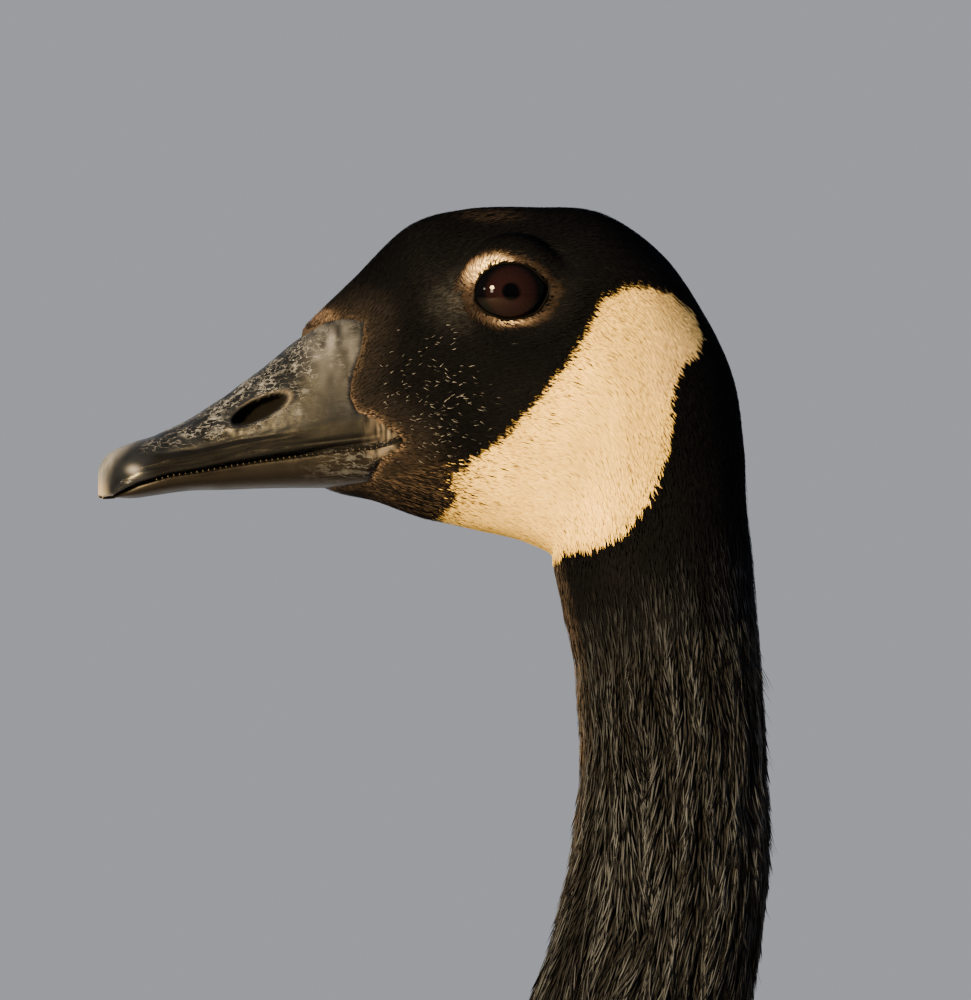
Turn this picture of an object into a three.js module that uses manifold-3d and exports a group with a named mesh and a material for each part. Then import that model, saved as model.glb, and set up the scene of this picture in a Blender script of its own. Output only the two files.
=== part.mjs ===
// A large Canada goose standing at rest with its neck raised, life size.
// Millimetres, +Z up. The bird faces -Y, and +X is its left side. The floor is z = 0.
import * as THREE from "three";
import { mergeVertices } from "three/addons/utils/BufferGeometryUtils.js";
import Module from "manifold-3d";

const wasm = await Module();
wasm.setup();

// Driving dimensions. Lengths run back from the bill's tip, and heights up from the floor.
const GAP = 0.35; // between neighbouring pieces
const FINE = 0.04; // the smallest step kept on a joined surface
const BODY_SIDES = 24;
const RINGS_PER_STATION = 2;
const BILL_SIDES = 16;
const LIMB_SIDES = 12;
const FACE_STARTS = 60; // how far back the middle of the bill's base is
const EYE = { back: 89.6, up: 721.5, apex: 19.9, half: [6.6, 9.3, 8.2], depth: 7.5 };
const LID = { halfLength: 8.2, halfHeight: 7, bead: 1.3, out: 17.5, yaw: 0.06, opening: [7.3, 6.1] };
const BILL = {
  widest: 0.2,
  overlap: 1.5,
  tipPinch: 1.25,
  basePinch: 0.9,
  lowerPinch: 0.75,
  upperRound: 0.9,
  lowerRound: 0.8,
};
const NOSTRIL = { back: 35.2, up: 695.7, halfLength: 6.3, halfHeight: 2.5, tilt: 0.45, depth: 5 };

// How far the plates that part the head and the bill reach round them.
const AROUND = { ahead: -20, gape: 80, behind: 190, above: 760, below: 640 };

// Cross-sections of the body from the bill's base to the tail: the point on the back or nape, the
// point on the throat or belly, and half the width, as [back, up], [back, up], half.
const BODY = [
  [[36, 706], [40, 684.5], 9.5],
  [[44, 713.5], [50, 678.5], 12.6],
  [[55, 724], [60, 676], 15.2],
  [[67, 735.5], [70, 672.5], 17.6],
  [[79, 739.4], [81, 670], 19.4],
  [[94, 740], [90, 668], 21],
  [[109, 738.7], [95.5, 666], 21.8],
  [[122, 730.2], [98, 664.6], 21.8],
  [[131.6, 717], [98.6, 663.2], 21.2],
  [[137.8, 703.5], [99.2, 660.5], 20.4],
  [[140.2, 689.5], [100, 657], 19.6],
  [[141, 675], [101, 652.5], 19],
  [[142.2, 662], [102.5, 646.5], 18.7],
  [[143.5, 645], [104, 638], 18.6],
  [[145, 620], [105.2, 616], 19],
  [[145.4, 592], [101.5, 590], 20.4],
  [[141.5, 563], [93.5, 564], 23],
  [[137, 530], [82.5, 532], 27],
  [[134, 500], [71, 496], 32],
  [[134, 470], [59, 456], 39.5],
  [[138, 444], [47.5, 410], 50],
  [[147, 422], [40.5, 360], 63],
  [[161, 404], [41, 308], 76],
  [[182, 391], [55, 255], 87],
  [[212, 382], [90, 207], 95],
  [[252, 374], [143, 172], 100],
  [[298, 363], [206, 155], 101],
  [[345, 348], [271, 150], 98],
  [[391, 330], [333, 157], 90],
  [[434, 311], [389, 173], 77],
  [[472, 293], [436, 194], 61],
  [[504, 277], [475, 215], 46],
  [[532, 264], [508, 230], 36],
  [[557, 252], [541, 229], 30],
  [[580, 241], [569, 223], 24],
  [[600, 233], [592, 222], 17],
];
const AT = { throat: 12, neckMiddle: 17, neckBase: 20, tailBase: 31 };

// Where the feathers of the face meet the bill, from the forehead to the chin, and the mouth line,
// as [back, up] seen from the side.
const FEATHER_LINE = [
  [30, 745], [41, 722], [45, 713.3], [53.5, 715.3], [57.6, 714.6], [57, 709], [55.2, 703.5], [54.6, 698.7],
  [56.2, 695.3], [60, 693.6], [63.6, 691.4], [66.4, 689.3], [64.8, 687.4], [61.4, 685.4], [59.4, 682.6],
  [58.4, 680], [53, 679], [44, 678.2], [38, 677.6], [34, 670], [30, 600],
];
const MOUTH_LINE = [
  [-8, 680.5], [1.2, 677], [3.4, 677.2], [9.2, 679.8], [16, 681.7], [22.4, 682.6], [29.6, 683.9], [36, 684.9],
  [52, 687], [60, 687.6], [64, 688.6], [67, 690], [75, 692],
];
// The bill's outline, as rows of how far back, the height of the culmen and of the lower edge, and half
// the width of the upper and of the lower bill.
const BILL_LINES = [
  [0.1, 683, 678.6, 2.4, 0.6],
  [1.6, 685.6, 677.1, 5.4, 1.2],
  [4.2, 687.4, 676.8, 7.9, 5.2],
  [8, 688.9, 676.7, 9.5, 7.6],
  [13, 690.6, 677.4, 10.3, 8.8],
  [20, 694, 678.3, 10.6, 9.3],
  [28, 699.2, 678.5, 11, 9.7],
  [36, 705.2, 678.8, 12.1, 10.4],
  [44, 711.5, 678.9, 13.3, 11.4],
  [54, 716.5, 678.9, 14.5, 12.6],
  [66, 718, 679, 15.3, 13.4],
];

// The folded wings lie on a larger hull of the same kind, from the wrist to the wing tips.
const MANTLE = [
  [[150, 421], [38, 362], 67],
  [[161, 406], [39, 306], 83],
  [[182, 394], [53, 253], 96],
  [[212, 386], [88, 204], 105],
  [[252, 378], [141, 168], 110],
  [[298, 368], [204, 151], 111],
  [[345, 354], [269, 146], 108],
  [[391, 338], [331, 152], 101],
  [[437, 322], [391, 168], 90],
  [[482, 308], [447, 190], 76],
  [[524, 296], [499, 210], 60],
  [[562, 284], [547, 228], 43],
  [[596, 273], [589, 243], 25],
];
// The wing's upper and lower edge round that hull, in degrees from the back's middle line.
const WING_EDGES = [
  [52, 82],
  [30, 100],
  [17, 110],
  [12, 114],
  [11, 115],
  [11, 113],
  [11, 109],
  [11, 104],
  [11, 98],
  [12, 91],
  [14, 83],
  [20, 73],
  [32, 58],
];
const WING_CORE = { end: 9.4, rim: 2.2, front: 14, rear: 2.6, columns: 7 };

// A feather as a plate: how wide it is at steps from its root to its tip, and how thick.
const VANE = {
  rows: [[0, 0.5], [0.42, 1], [0.82, 0.9], [1, 0.35]],
  thickness: 0.95,
  edge: 0.75,
  camber: 0.4,
  sunk: 3,
  bend: 0.6,
  overlap: 1.3,
};

// Tiers of wing feathers from the wrist back: how many, the stations of the roots and of the tips at
// the wing's upper and at its lower edge, the shares of its breadth that roots and tips cover, and
// how far the tips stand off the hull.
const TIERS = {
  upperCoverts: { count: 5, roots: [1, 0.8], tips: [2.9, 2.3], breadth: [0.04, 0.96], rise: 2.8, scatter: 0.12 },
  middleCoverts: { count: 6, roots: [2.2, 1.8], tips: [4.2, 3.5], breadth: [0.03, 0.97], rise: 3, scatter: 0.14 },
  longCoverts: { count: 6, roots: [3.4, 2.8], tips: [5.7, 4.8], breadth: [0.03, 0.97], rise: 3.1, scatter: 0.14 },
  greaterCoverts: { count: 6, roots: [4.8, 4], tips: [7.4, 6.3], breadth: [0.03, 0.97], rise: 3.2, scatter: 0.16 },
  secondaries: { count: 5, roots: [6.3, 5.4], tips: [9.1, 8], breadth: [0.04, 0.97], rise: 3.3, scatter: 0.18 },
  tertials: { count: 4, roots: [7.7, 7], tips: [10.4, 9.9], breadth: [0.04, 0.8], rise: 3.4, scatter: 0.2 },
};
const WING_ROLL = 0.05;
const PRIMARIES = {
  count: 5,
  roots: [8.4, 7.2],
  tips: [12, 10.6],
  from: [0.55, 0.95],
  to: [0.5, 0.66],
  half: 9,
  rise: 2.2,
  layer: 2.6,
};

const LEG = {
  out: 47,
  stride: 7,
  hip: [252, 205],
  knee: [262, 178],
  ankle: [292, 98],
  toeRoot: [266, 15],
  // Below the knee, the thigh's middle line as the share of the way to the ankle, up.
  thigh: { path: [[0.5, 142], [0.85, 116], [0.94, 106]], half: [42, 37, 27, 13, 8.2], outAtHip: 51, flatten: 0.92 },
  // Rows of the shank: the share of the way from the ankle to the toes' root, how far back, up, half.
  shank: [
    [0, -1.5, 105.4, 6.6],
    [0, 0, 98, 7.8],
    [0, -1, 91, 6.9],
    [0.25, 0, 78, 5.2],
    [0.55, 0, 54, 4.9],
    [0.85, 0, 28, 5.6],
    [1, 1.5, 19.5, 6.4],
  ],
  shankFlatten: 0.8,
  // Rows of the palm: how far behind the toes' root, up, half.
  palm: [
    [7, 18.1, 4.2],
    [4, 12, 6.4],
    [0, 7, 7.2],
  ],
  palmFlatten: 0.95,
  footTop: 18.05,
};
const TOES = [
  { name: "inner", length: 62, splay: -24, half: 4.4 },
  { name: "middle", length: 84, splay: 3, half: 5.2 },
  { name: "outer", length: 76, splay: 30, half: 4.6 },
];
// The raised hind toe: half its width, and its middle line as inwards, behind the toes' root, up.
const HIND_TOE = {
  half: 3.1,
  line: [
    [2, 4, 12],
    [4, 12, 9],
    [5.5, 19, 6.2],
    [6.5, 24, 4.2],
  ],
};
const HIND_CLAW = 0.62; // its size beside the other claws
const CLAW = { length: 13, half: 2.9, height: 5.2 };
const WEB = { thickness: 1.5, hollow: 0.2, from: 0.2, run: 2.55 };

const TAIL = {
  root: [512, 246],
  length: 138,
  fan: [1, 10],
  roots: [12.7, 24],
  half: 12.5,
  rounding: 0.035,
  slope: -0.24,
  pairs: 6,
  layer: 1.45,
};
const PLAIN = {
  black: { color: 0x15120f, roughness: 0.75 },
  white: { color: 0xe8dfca, roughness: 0.8 },
  brown: { color: 0x6b5848, roughness: 0.8 },
  horn: { color: 0x1d1c1b, roughness: 0.4 },
  iris: { color: 0x1c0c08, roughness: 0.06 },
  skin: { color: 0x242220, roughness: 0.55 },
};

// Straight algebra on arrays of numbers.
const mix = (a, b, t) => a + (b - a) * t;
const add = (a, b, s = 1) => a.map((x, i) => x + b[i] * s);
const length = (a) => Math.hypot(...a);
const unit = (a) => a.map((x) => x / length(a));
const cross = (a, b) => [a[1] * b[2] - a[2] * b[1], a[2] * b[0] - a[0] * b[2], a[0] * b[1] - a[1] * b[0]];
const radians = THREE.MathUtils.degToRad;

// A repeatable stream of numbers from 0 to 1.
function stream(seed) {
  let state = seed;
  return () => {
    state = (state * 1664525 + 1013904223) % 4294967296;
    return state / 4294967296;
  };
}
const random = stream(71);

// A smooth curve through equally spaced rows of numbers, at a fractional row.
function through(rows, at) {
  const last = rows.length - 1;
  const i = Math.min(Math.max(Math.floor(at), 0), last - 1);
  const t = at - i;
  const row = (k) => {
    if (k < 0) return add(rows[0], add(rows[0], rows[1], -1));
    if (k > last) return add(rows[last], add(rows[last], rows[last - 1], -1));
    return rows[k];
  };
  const [a, b, c, d] = [row(i - 1), row(i), row(i + 1), row(i + 2)];
  return b.map((_, k) => {
    const slopeIn = (c[k] - a[k]) / 2;
    const slopeOut = (d[k] - b[k]) / 2;
    const rise = c[k] - b[k];
    return b[k] + t * (slopeIn + t * (3 * rise - 2 * slopeIn - slopeOut + t * (slopeIn + slopeOut - 2 * rise)));
  });
}

// The point of a hull at a fractional station, at an angle in radians from the back's middle line.
function hullPoint(stations, at, angle, lift = 0) {
  const [backTop, upTop, backLow, upLow, half] = through(stations.map((s) => s.flat()), at);
  const middle = [(backTop + backLow) / 2, (upTop + upLow) / 2];
  const rise = [(backTop - backLow) / 2, (upTop - upLow) / 2];
  const reach = 1 + lift / length(rise);
  return [
    (half + lift) * Math.sin(angle),
    middle[0] + rise[0] * Math.cos(angle) * reach,
    middle[1] + rise[1] * Math.cos(angle) * reach,
  ];
}

// How a hull's point moves with its station and with its angle, and the outward direction there.
function hullSlopes(stations, at, angle) {
  const step = 0.02;
  const slope = (a, b) => add(a, b, -1).map((x) => x / (2 * step));
  const along = slope(hullPoint(stations, at + step, angle), hullPoint(stations, at - step, angle));
  const round = slope(hullPoint(stations, at, angle + step), hullPoint(stations, at, angle - step));
  return { along, round, outward: unit(cross(round, along)) };
}

// A closed geometry through rings of points that run the same way round, with flat ends.
function loft(rings) {
  const sides = rings[0].length;
  const index = [];
  for (let r = 0; r < rings.length - 1; r++) {
    for (let k = 0; k < sides; k++) {
      const [a, b] = [r * sides + k, r * sides + ((k + 1) % sides)];
      index.push(a, b, b + sides, a, b + sides, a + sides);
    }
  }
  const end = (rings.length - 1) * sides;
  for (let k = 1; k < sides - 1; k++) {
    index.push(0, k + 1, k, end, end + k, end + k + 1);
  }
  const geometry = new THREE.BufferGeometry();
  geometry.setAttribute("position", new THREE.Float32BufferAttribute(rings.flat(2), 3));
  return geometry.setIndex(index);
}

// A closed geometry between two grids of points, rows by columns, with both faces divided alike.
function plate(upper, lower) {
  const rows = upper.length;
  const columns = upper[0].length;
  const top = (r, c) => r * columns + c;
  const under = rows * columns;
  const index = [];
  for (let r = 0; r < rows - 1; r++) {
    for (let c = 0; c < columns - 1; c++) {
      const [a, b, d, e] = [top(r, c), top(r, c + 1), top(r + 1, c + 1), top(r + 1, c)];
      index.push(a, b, d, a, d, e, under + a, under + d, under + b, under + a, under + e, under + d);
    }
  }
  const rim = [];
  for (let c = 0; c < columns - 1; c++) rim.push(top(rows - 1, c));
  for (let r = rows - 1; r > 0; r--) rim.push(top(r, columns - 1));
  for (let c = columns - 1; c > 0; c--) rim.push(top(0, c));
  for (let r = 0; r < rows - 1; r++) rim.push(top(r, 0));
  rim.forEach((a, i) => {
    const b = rim[(i + 1) % rim.length];
    index.push(a, b, under + b, under + b, under + a, a);
  });
  const geometry = new THREE.BufferGeometry();
  geometry.setAttribute("position", new THREE.Float32BufferAttribute([...upper.flat(2), ...lower.flat(2)], 3));
  return geometry.setIndex(index);
}

// A geometry as a solid that can be joined and cut, and the way back.
function solid(geometry) {
  const bare = new THREE.BufferGeometry().setAttribute("position", geometry.getAttribute("position").clone());
  if (geometry.index) bare.setIndex(geometry.index.clone());
  const merged = mergeVertices(bare, 1e-3);
  const made = new wasm.Manifold(
    new wasm.Mesh({ numProp: 3, vertProperties: merged.attributes.position.array, triVerts: merged.index.array }),
  );
  if (made.volume() >= 0) return made;
  const turned = merged.index.array.slice();
  for (let i = 0; i < turned.length; i += 3) [turned[i + 1], turned[i + 2]] = [turned[i + 2], turned[i + 1]];
  return new wasm.Manifold(
    new wasm.Mesh({ numProp: 3, vertProperties: merged.attributes.position.array, triVerts: turned }),
  );
}

// The largest closed body of a solid, as a geometry.
const biggest = (made) => made.decompose().sort((a, b) => b.volume() - a.volume())[0];
function largest(made) {
  const mesh = biggest(biggest(made).simplify(FINE)).getMesh();
  const places = [];
  for (let i = 0; i < mesh.numVert; i++) {
    places.push(...mesh.vertProperties.subarray(i * mesh.numProp, i * mesh.numProp + 3));
  }
  const geometry = new THREE.BufferGeometry();
  geometry.setAttribute("position", new THREE.Float32BufferAttribute(places, 3));
  geometry.setIndex([...mesh.triVerts]);
  geometry.computeVertexNormals();
  return geometry;
}

const joined = (solids) => solids.reduce((whole, piece) => whole.add(piece));

// A plate seen from the side: an outline of [back, up] points, drawn out across the bird.
function sidePlate(outline, fromX = -160, toX = 160) {
  const shape = new THREE.Shape(outline.map(([back, up]) => new THREE.Vector2(back, up)));
  const plate = new THREE.ExtrudeGeometry(shape, { depth: toX - fromX, bevelEnabled: false });
  plate.translate(0, 0, fromX);
  // Shape x becomes y, shape y becomes z, and the drawing direction becomes x.
  const turn = new THREE.Matrix4().set(0, 0, 1, 0, 1, 0, 0, 0, 0, 1, 0, 0, 0, 0, 0, 1);
  return solid(plate.applyMatrix4(turn));
}

// A line of [back, up] points moved sideways by a distance, to the left of its direction if positive.
function besideLine(line, distance) {
  return line.map((point, i) => {
    const before = line[Math.max(i - 1, 0)];
    const after = line[Math.min(i + 1, line.length - 1)];
    const along = unit(add(after, before, -1));
    return add(point, [-along[1], along[0]], distance);
  });
}

// The whole body, from the bill's base to the end of the rump, and the same grown by a gap.
function bodySolid(lift = 0) {
  const rings = [];
  const steps = (BODY.length - 1) * RINGS_PER_STATION;
  for (let i = 0; i <= steps; i++) {
    const ring = [];
    for (let k = 0; k < BODY_SIDES; k++) {
      ring.push(hullPoint(BODY, i / RINGS_PER_STATION, (2 * Math.PI * k) / BODY_SIDES, lift));
    }
    rings.push(ring);
  }
  return solid(loft(rings));
}

// A thin plate across the body at a station, which parts what lies before and behind it.
function stationCut(at, reach = 60) {
  const [backTop, upTop, backLow, upLow] = through(BODY.map((s) => s.flat()), at);
  const across = unit([backTop - backLow, upTop - upLow]);
  const line = [
    [backLow - across[0] * reach, upLow - across[1] * reach],
    [backTop + across[0] * reach, upTop + across[1] * reach],
  ];
  const lowSide = besideLine(line, GAP / 2);
  const highSide = besideLine(line, -GAP / 2).reverse();
  return sidePlate([...lowSide, ...highSide]);
}

// One half of the bill as a loft: a roof over the mouth line, or the shallow trough under it.
function billLoft(upper) {
  const rings = [];
  const steps = (BILL_LINES.length - 1) * 2;
  for (let i = 0; i <= steps; i++) {
    const [back, culmen, low, halfUpper, halfLower] = through(BILL_LINES, i / 2);
    const mouth = mouthHeight(back);
    const half = upper ? halfUpper : halfLower;
    const top = upper ? culmen : mouth + BILL.overlap;
    const bottom = upper ? Math.min(mouth - BILL.overlap, low + BILL.overlap) : low;
    const widest = upper ? mouth + BILL.widest * (culmen - mouth) : mouth;
    const ring = [];
    for (let k = 0; k < BILL_SIDES; k++) {
      const angle = (2 * Math.PI * k) / BILL_SIDES;
      const c = Math.cos(angle);
      const baseShare = Math.min(back / FACE_STARTS, 1);
      const pinch = upper && c > 0 ? mix(BILL.tipPinch, BILL.basePinch, baseShare) : BILL.lowerPinch;
      const s = Math.sin(angle);
      const up = c > 0 ? widest + (top - widest) * c ** pinch : widest - (widest - bottom) * (-c) ** pinch;
      const roundness = upper ? BILL.upperRound : BILL.lowerRound;
      ring.push([half * Math.sign(s) * Math.abs(s) ** roundness, back, up]);
    }
    rings.push(ring);
  }
  return solid(loft(rings));
}

// The mouth line's height at a distance from the bill's tip.
function mouthHeight(back) {
  const i = Math.max(MOUTH_LINE.findIndex(([b]) => b > back), 1);
  const [[b0, u0], [b1, u1]] = [MOUTH_LINE[i - 1], MOUTH_LINE[i]];
  return mix(u0, u1, (back - b0) / (b1 - b0));
}

// The upper and lower bill, cut apart at the mouth line and from the face at the feather line.
function bill() {
  const before = [...besideLine(FEATHER_LINE, -GAP / 2), [AROUND.ahead, 600], [AROUND.ahead, 745]];
  const front = sidePlate(before);
  const beyondMouth = (up) => [[AROUND.gape, up], [AROUND.ahead, up]];
  const above = sidePlate([...besideLine(MOUTH_LINE, GAP / 2), ...beyondMouth(AROUND.above)]);
  const below = sidePlate([...besideLine(MOUTH_LINE, -GAP / 2), ...beyondMouth(AROUND.below)]);
  const nostril = new THREE.CylinderGeometry(1, 1, 1, 12);
  nostril.rotateZ(Math.PI / 2).scale(30, NOSTRIL.halfLength, NOSTRIL.halfHeight);
  nostril.rotateX(NOSTRIL.tilt).translate(15 + NOSTRIL.depth, NOSTRIL.back, NOSTRIL.up);
  const pit = solid(nostril);
  const otherPit = solid(nostril.clone().scale(-1, 1, 1));
  const upper = billLoft(true).intersect(front).intersect(above).subtract(pit).subtract(otherPit);
  const lower = billLoft(false).intersect(front).intersect(below);
  return { upper, lower };
}

// The left eye: the front part of a flattened ball, looking out of the head, grown by a gap for its
// socket.
function eyeSolid(lift = 0) {
  const ball = new THREE.SphereGeometry(1, 16, 10).rotateZ(Math.PI / 2);
  ball.scale(...EYE.half.map((half) => half + lift));
  ball.translate(EYE.apex - EYE.half[0], EYE.back, EYE.up);
  const inner = EYE.apex - EYE.depth - lift;
  const kept = new THREE.BoxGeometry(40, 40, 40).translate(inner + 20, EYE.back, EYE.up);
  return solid(ball).intersect(solid(kept));
}

// The opening between the left eyelids, cut through the side of the head.
function lidOpening() {
  const reach = 12;
  const cut = new THREE.CylinderGeometry(1, 1, reach, 16).rotateZ(Math.PI / 2);
  cut.scale(1, ...LID.opening).rotateZ(LID.yaw);
  return solid(cut.translate(LID.out + reach / 2 - 1, EYE.back, EYE.up));
}

// The rim of the left eyelids.
function lidSolid() {
  const ring = new THREE.TorusGeometry(1, 1, 6, 16);
  const places = ring.getAttribute("position");
  for (let i = 0; i < places.count; i++) {
    const round = Math.atan2(places.getY(i), places.getX(i));
    const spread = Math.hypot(places.getX(i), places.getY(i)) - 1;
    places.setXYZ(
      i,
      places.getZ(i) * LID.bead,
      (LID.halfLength + spread * LID.bead) * Math.cos(round),
      (LID.halfHeight + spread * LID.bead) * Math.sin(round),
    );
  }
  ring.rotateZ(LID.yaw).translate(LID.out, EYE.back, EYE.up);
  return solid(ring);
}

// The same piece on the bird's other side.
function mirrored(made) {
  return solid(largest(made).scale(-1, 1, 1));
}

// A feather as a thin plate: lay gives the middle of its thickness, and its outward direction, at a
// share of its length and a distance from its shaft.
function feather(lay, half) {
  const face = (side) =>
    VANE.rows.map(([run, wide]) =>
      [-1, 0, 1].map((across) => {
        const { point, outward } = lay(run, across * wide * half);
        const thick = VANE.thickness * (across ? VANE.edge : 1);
        return add(point, outward, (side * thick) / 2);
      }),
    );
  return solid(plate(face(1), face(-1)));
}

// A feather on a hull, from one [station, angle] to another: off the hull by two lifts at its root
// and tip, and rolled so that one edge lies over its neighbour.
function hullFeather(stations, from, to, half, lifts, roll = 0) {
  const lay = (run, across) => {
    const [at, angle] = [mix(from[0], to[0], run), mix(from[1], to[1], run)];
    const { along, round, outward } = hullSlopes(stations, at, angle);
    const ahead = along.map((x, i) => x * (to[0] - from[0]) + round[i] * (to[1] - from[1]));
    const side = unit(cross(outward, ahead));
    const dot = (a, b) => a.reduce((sum, x, i) => sum + x * b[i], 0);
    const [aa, ab, bb] = [dot(along, along), dot(along, round), dot(round, round)];
    const [sa, sb] = [dot(side, along) * across, dot(side, round) * across];
    const spread = aa * bb - ab * ab;
    const place = [at + (sa * bb - sb * ab) / spread, angle + (sb * aa - sa * ab) / spread];
    const bulge = VANE.camber * (1 - (across / half) ** 2);
    const lift = mix(...lifts, run ** VANE.bend) + bulge + roll * across;
    return { point: add(hullPoint(stations, ...place), outward, lift), outward };
  };
  return feather(lay, half);
}

// The width of a share of a hull at a station, between two angles.
function hullBreadth(stations, at, from, to) {
  return length(hullSlopes(stations, at, mix(from, to, 0.5)).round) * Math.abs(to - from);
}

// The angle at a share of the wing's breadth at a station.
function wingAngle(at, share) {
  const [from, to] = through(WING_EDGES, at);
  return radians(mix(from, to, share));
}

// All the feathers of the left wing.
function wingFeathers() {
  const made = [];
  for (const tier of Object.values(TIERS)) {
    for (let i = 0; i < tier.count; i++) {
      const down = (i + 0.5) / tier.count;
      const share = mix(...tier.breadth, down);
      const root = mix(...tier.roots, down);
      const tip = mix(...tier.tips, down) + tier.scatter * (random() - 0.5);
      const middle = mix(root, tip, 0.5);
      const [low, high] = tier.breadth.map((edge) => wingAngle(middle, edge));
      const half = (hullBreadth(MANTLE, middle, low, high) / tier.count / 2) * VANE.overlap;
      const ends = [root, tip].map((at) => [at, wingAngle(at, share)]);
      made.push(hullFeather(MANTLE, ...ends, half, [-VANE.sunk, tier.rise], WING_ROLL));
    }
  }
  for (let i = 0; i < PRIMARIES.count; i++) {
    const down = i / (PRIMARIES.count - 1);
    const root = mix(...PRIMARIES.roots, down);
    const tip = mix(...PRIMARIES.tips, down);
    const ends = [
      [root, wingAngle(root, mix(...PRIMARIES.from, down))],
      [tip, wingAngle(tip, mix(...PRIMARIES.to, down))],
    ];
    const lifts = [-VANE.sunk, PRIMARIES.rise].map((lift) => lift - i * PRIMARIES.layer);
    made.push(hullFeather(MANTLE, ...ends, PRIMARIES.half, lifts));
  }
  return made;
}

// The flesh of the left folded wing: a shell on the mantle hull.
function wingCore() {
  const steps = Math.round(WING_CORE.end);
  const outer = [];
  const inner = [];
  for (let i = 0; i <= steps; i++) {
    const at = (i / steps) * WING_CORE.end;
    const deep = mix(WING_CORE.front, WING_CORE.rear, i / steps);
    outer.push([]);
    inner.push([]);
    for (let k = 0; k < WING_CORE.columns; k++) {
      const share = k / (WING_CORE.columns - 1);
      const angle = wingAngle(at, share);
      const point = hullPoint(MANTLE, at, angle);
      const thick = WING_CORE.rim + deep * Math.sin(Math.PI * share);
      outer[i].push(point);
      inner[i].push(add(point, hullSlopes(MANTLE, at, angle).outward, -thick));
    }
  }
  return solid(plate(outer, inner));
}

// A round limb through [back, up, half] rows at one distance out from the middle.
function limb(rows, sides, outAt, flatten = 1) {
  const rings = rows.map(([back, up, half], i) => {
    const before = rows[Math.max(i - 1, 0)];
    const after = rows[Math.min(i + 1, rows.length - 1)];
    const along = unit([after[0] - before[0], after[1] - before[1]]);
    const ring = [];
    for (let k = 0; k < sides; k++) {
      const angle = (2 * Math.PI * k) / sides;
      const [s, c] = [Math.sin(angle), Math.cos(angle)];
      ring.push([outAt(i) + half * flatten * s, back - along[1] * half * c, up + along[0] * half * c]);
    }
    return ring;
  });
  return solid(loft(rings));
}

// The left leg at a stride, in pieces: thigh, shank and foot, and its claws by toe.
function leg(stride, grownBody) {
  const hip = add(LEG.hip, [stride * 0.3, 0]);
  const knee = add(LEG.knee, [stride * 0.6, 0]);
  const ankle = add(LEG.ankle, [stride, 0]);
  const toeRoot = add(LEG.toeRoot, [stride, 0]);
  const belowKnee = LEG.thigh.path.map(([share, up]) => [mix(knee[0], ankle[0], share), up]);
  const thighRows = [hip, knee, ...belowKnee].map((p, i) => [...p, LEG.thigh.half[i]]);
  const thighOut = (i) => mix(LEG.thigh.outAtHip, LEG.out, i / (thighRows.length - 1));
  const thigh = limb(thighRows, LIMB_SIDES, thighOut, LEG.thigh.flatten).subtract(grownBody);

  const slab = (from, to) => {
    const box = new THREE.BoxGeometry(200, 200, to - from);
    return solid(box.translate(LEG.out, toeRoot[0], (from + to) / 2));
  };
  const shankRows = LEG.shank.map(([share, back, up, half]) => [mix(ankle[0], toeRoot[0], share) + back, up, half]);
  const footSlab = slab(-2, LEG.footTop + GAP);
  const shank = limb(shankRows, LIMB_SIDES, () => LEG.out, LEG.shankFlatten).subtract(footSlab);

  const palmRows = LEG.palm.map(([back, up, half]) => [toeRoot[0] + back, up, half]);
  const palm = limb(palmRows, LIMB_SIDES, () => LEG.out, LEG.palmFlatten);
  const tips = TOES.map((toe) => toeSpine(toe, toeRoot));
  const hindTip = HIND_TOE.line.map(([inwards, back, up]) => [LEG.out - inwards, toeRoot[0] + back, up]);
  const toes = TOES.map((toe, i) => toeSolid(toe.half, tips[i]));
  const foot = joined([palm, ...toes, toeSolid(HIND_TOE.half, hindTip), webSolid(tips)])
    .subtract(slab(-40, 0))
    .subtract(slab(LEG.footTop, LEG.footTop + 20));

  const claws = Object.fromEntries(TOES.map((toe, i) => [toe.name, clawSolid(tips[i], 1)]));
  claws.hind = clawSolid(hindTip, HIND_CLAW);
  return { thigh, shank, foot, claws };
}

// The middle line of one toe, from the root forwards, along the floor.
function toeSpine(toe, toeRoot) {
  const turn = radians(toe.splay);
  const heights = [7.5, 6, 5.1, 4.2];
  return heights.map((up, i) => {
    const run = (toe.length * i) / (heights.length - 1);
    return [LEG.out + run * Math.sin(turn), toeRoot[0] - run * Math.cos(turn), up];
  });
}

// A toe of half a width along a middle line: a row of pads, each thicker at its joint.
function toeSolid(halfWidth, spine) {
  const rings = [];
  const sides = 8;
  const steps = (spine.length - 1) * 2;
  for (let i = 0; i <= steps; i++) {
    const centre = through(spine, i / 2);
    const ahead = add(through(spine, i / 2 + 0.1), through(spine, i / 2 - 0.1), -1);
    const across = unit(cross(ahead, [0, 0, 1]));
    const pad = i % 2 ? 0.86 : 1;
    const half = halfWidth * pad * mix(1.05, 0.72, i / steps);
    const ring = [];
    for (let k = 0; k < sides; k++) {
      const angle = (2 * Math.PI * (k + 0.5)) / sides;
      const [s, c] = [Math.sin(angle), Math.cos(angle)];
      const up = c > 0 ? c * half * 1.05 : c * (centre[2] + 0.9);
      ring.push([centre[0] + across[0] * half * s, centre[1] + across[1] * half * s, centre[2] + up]);
    }
    rings.push(ring);
  }
  return solid(loft(rings));
}

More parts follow.
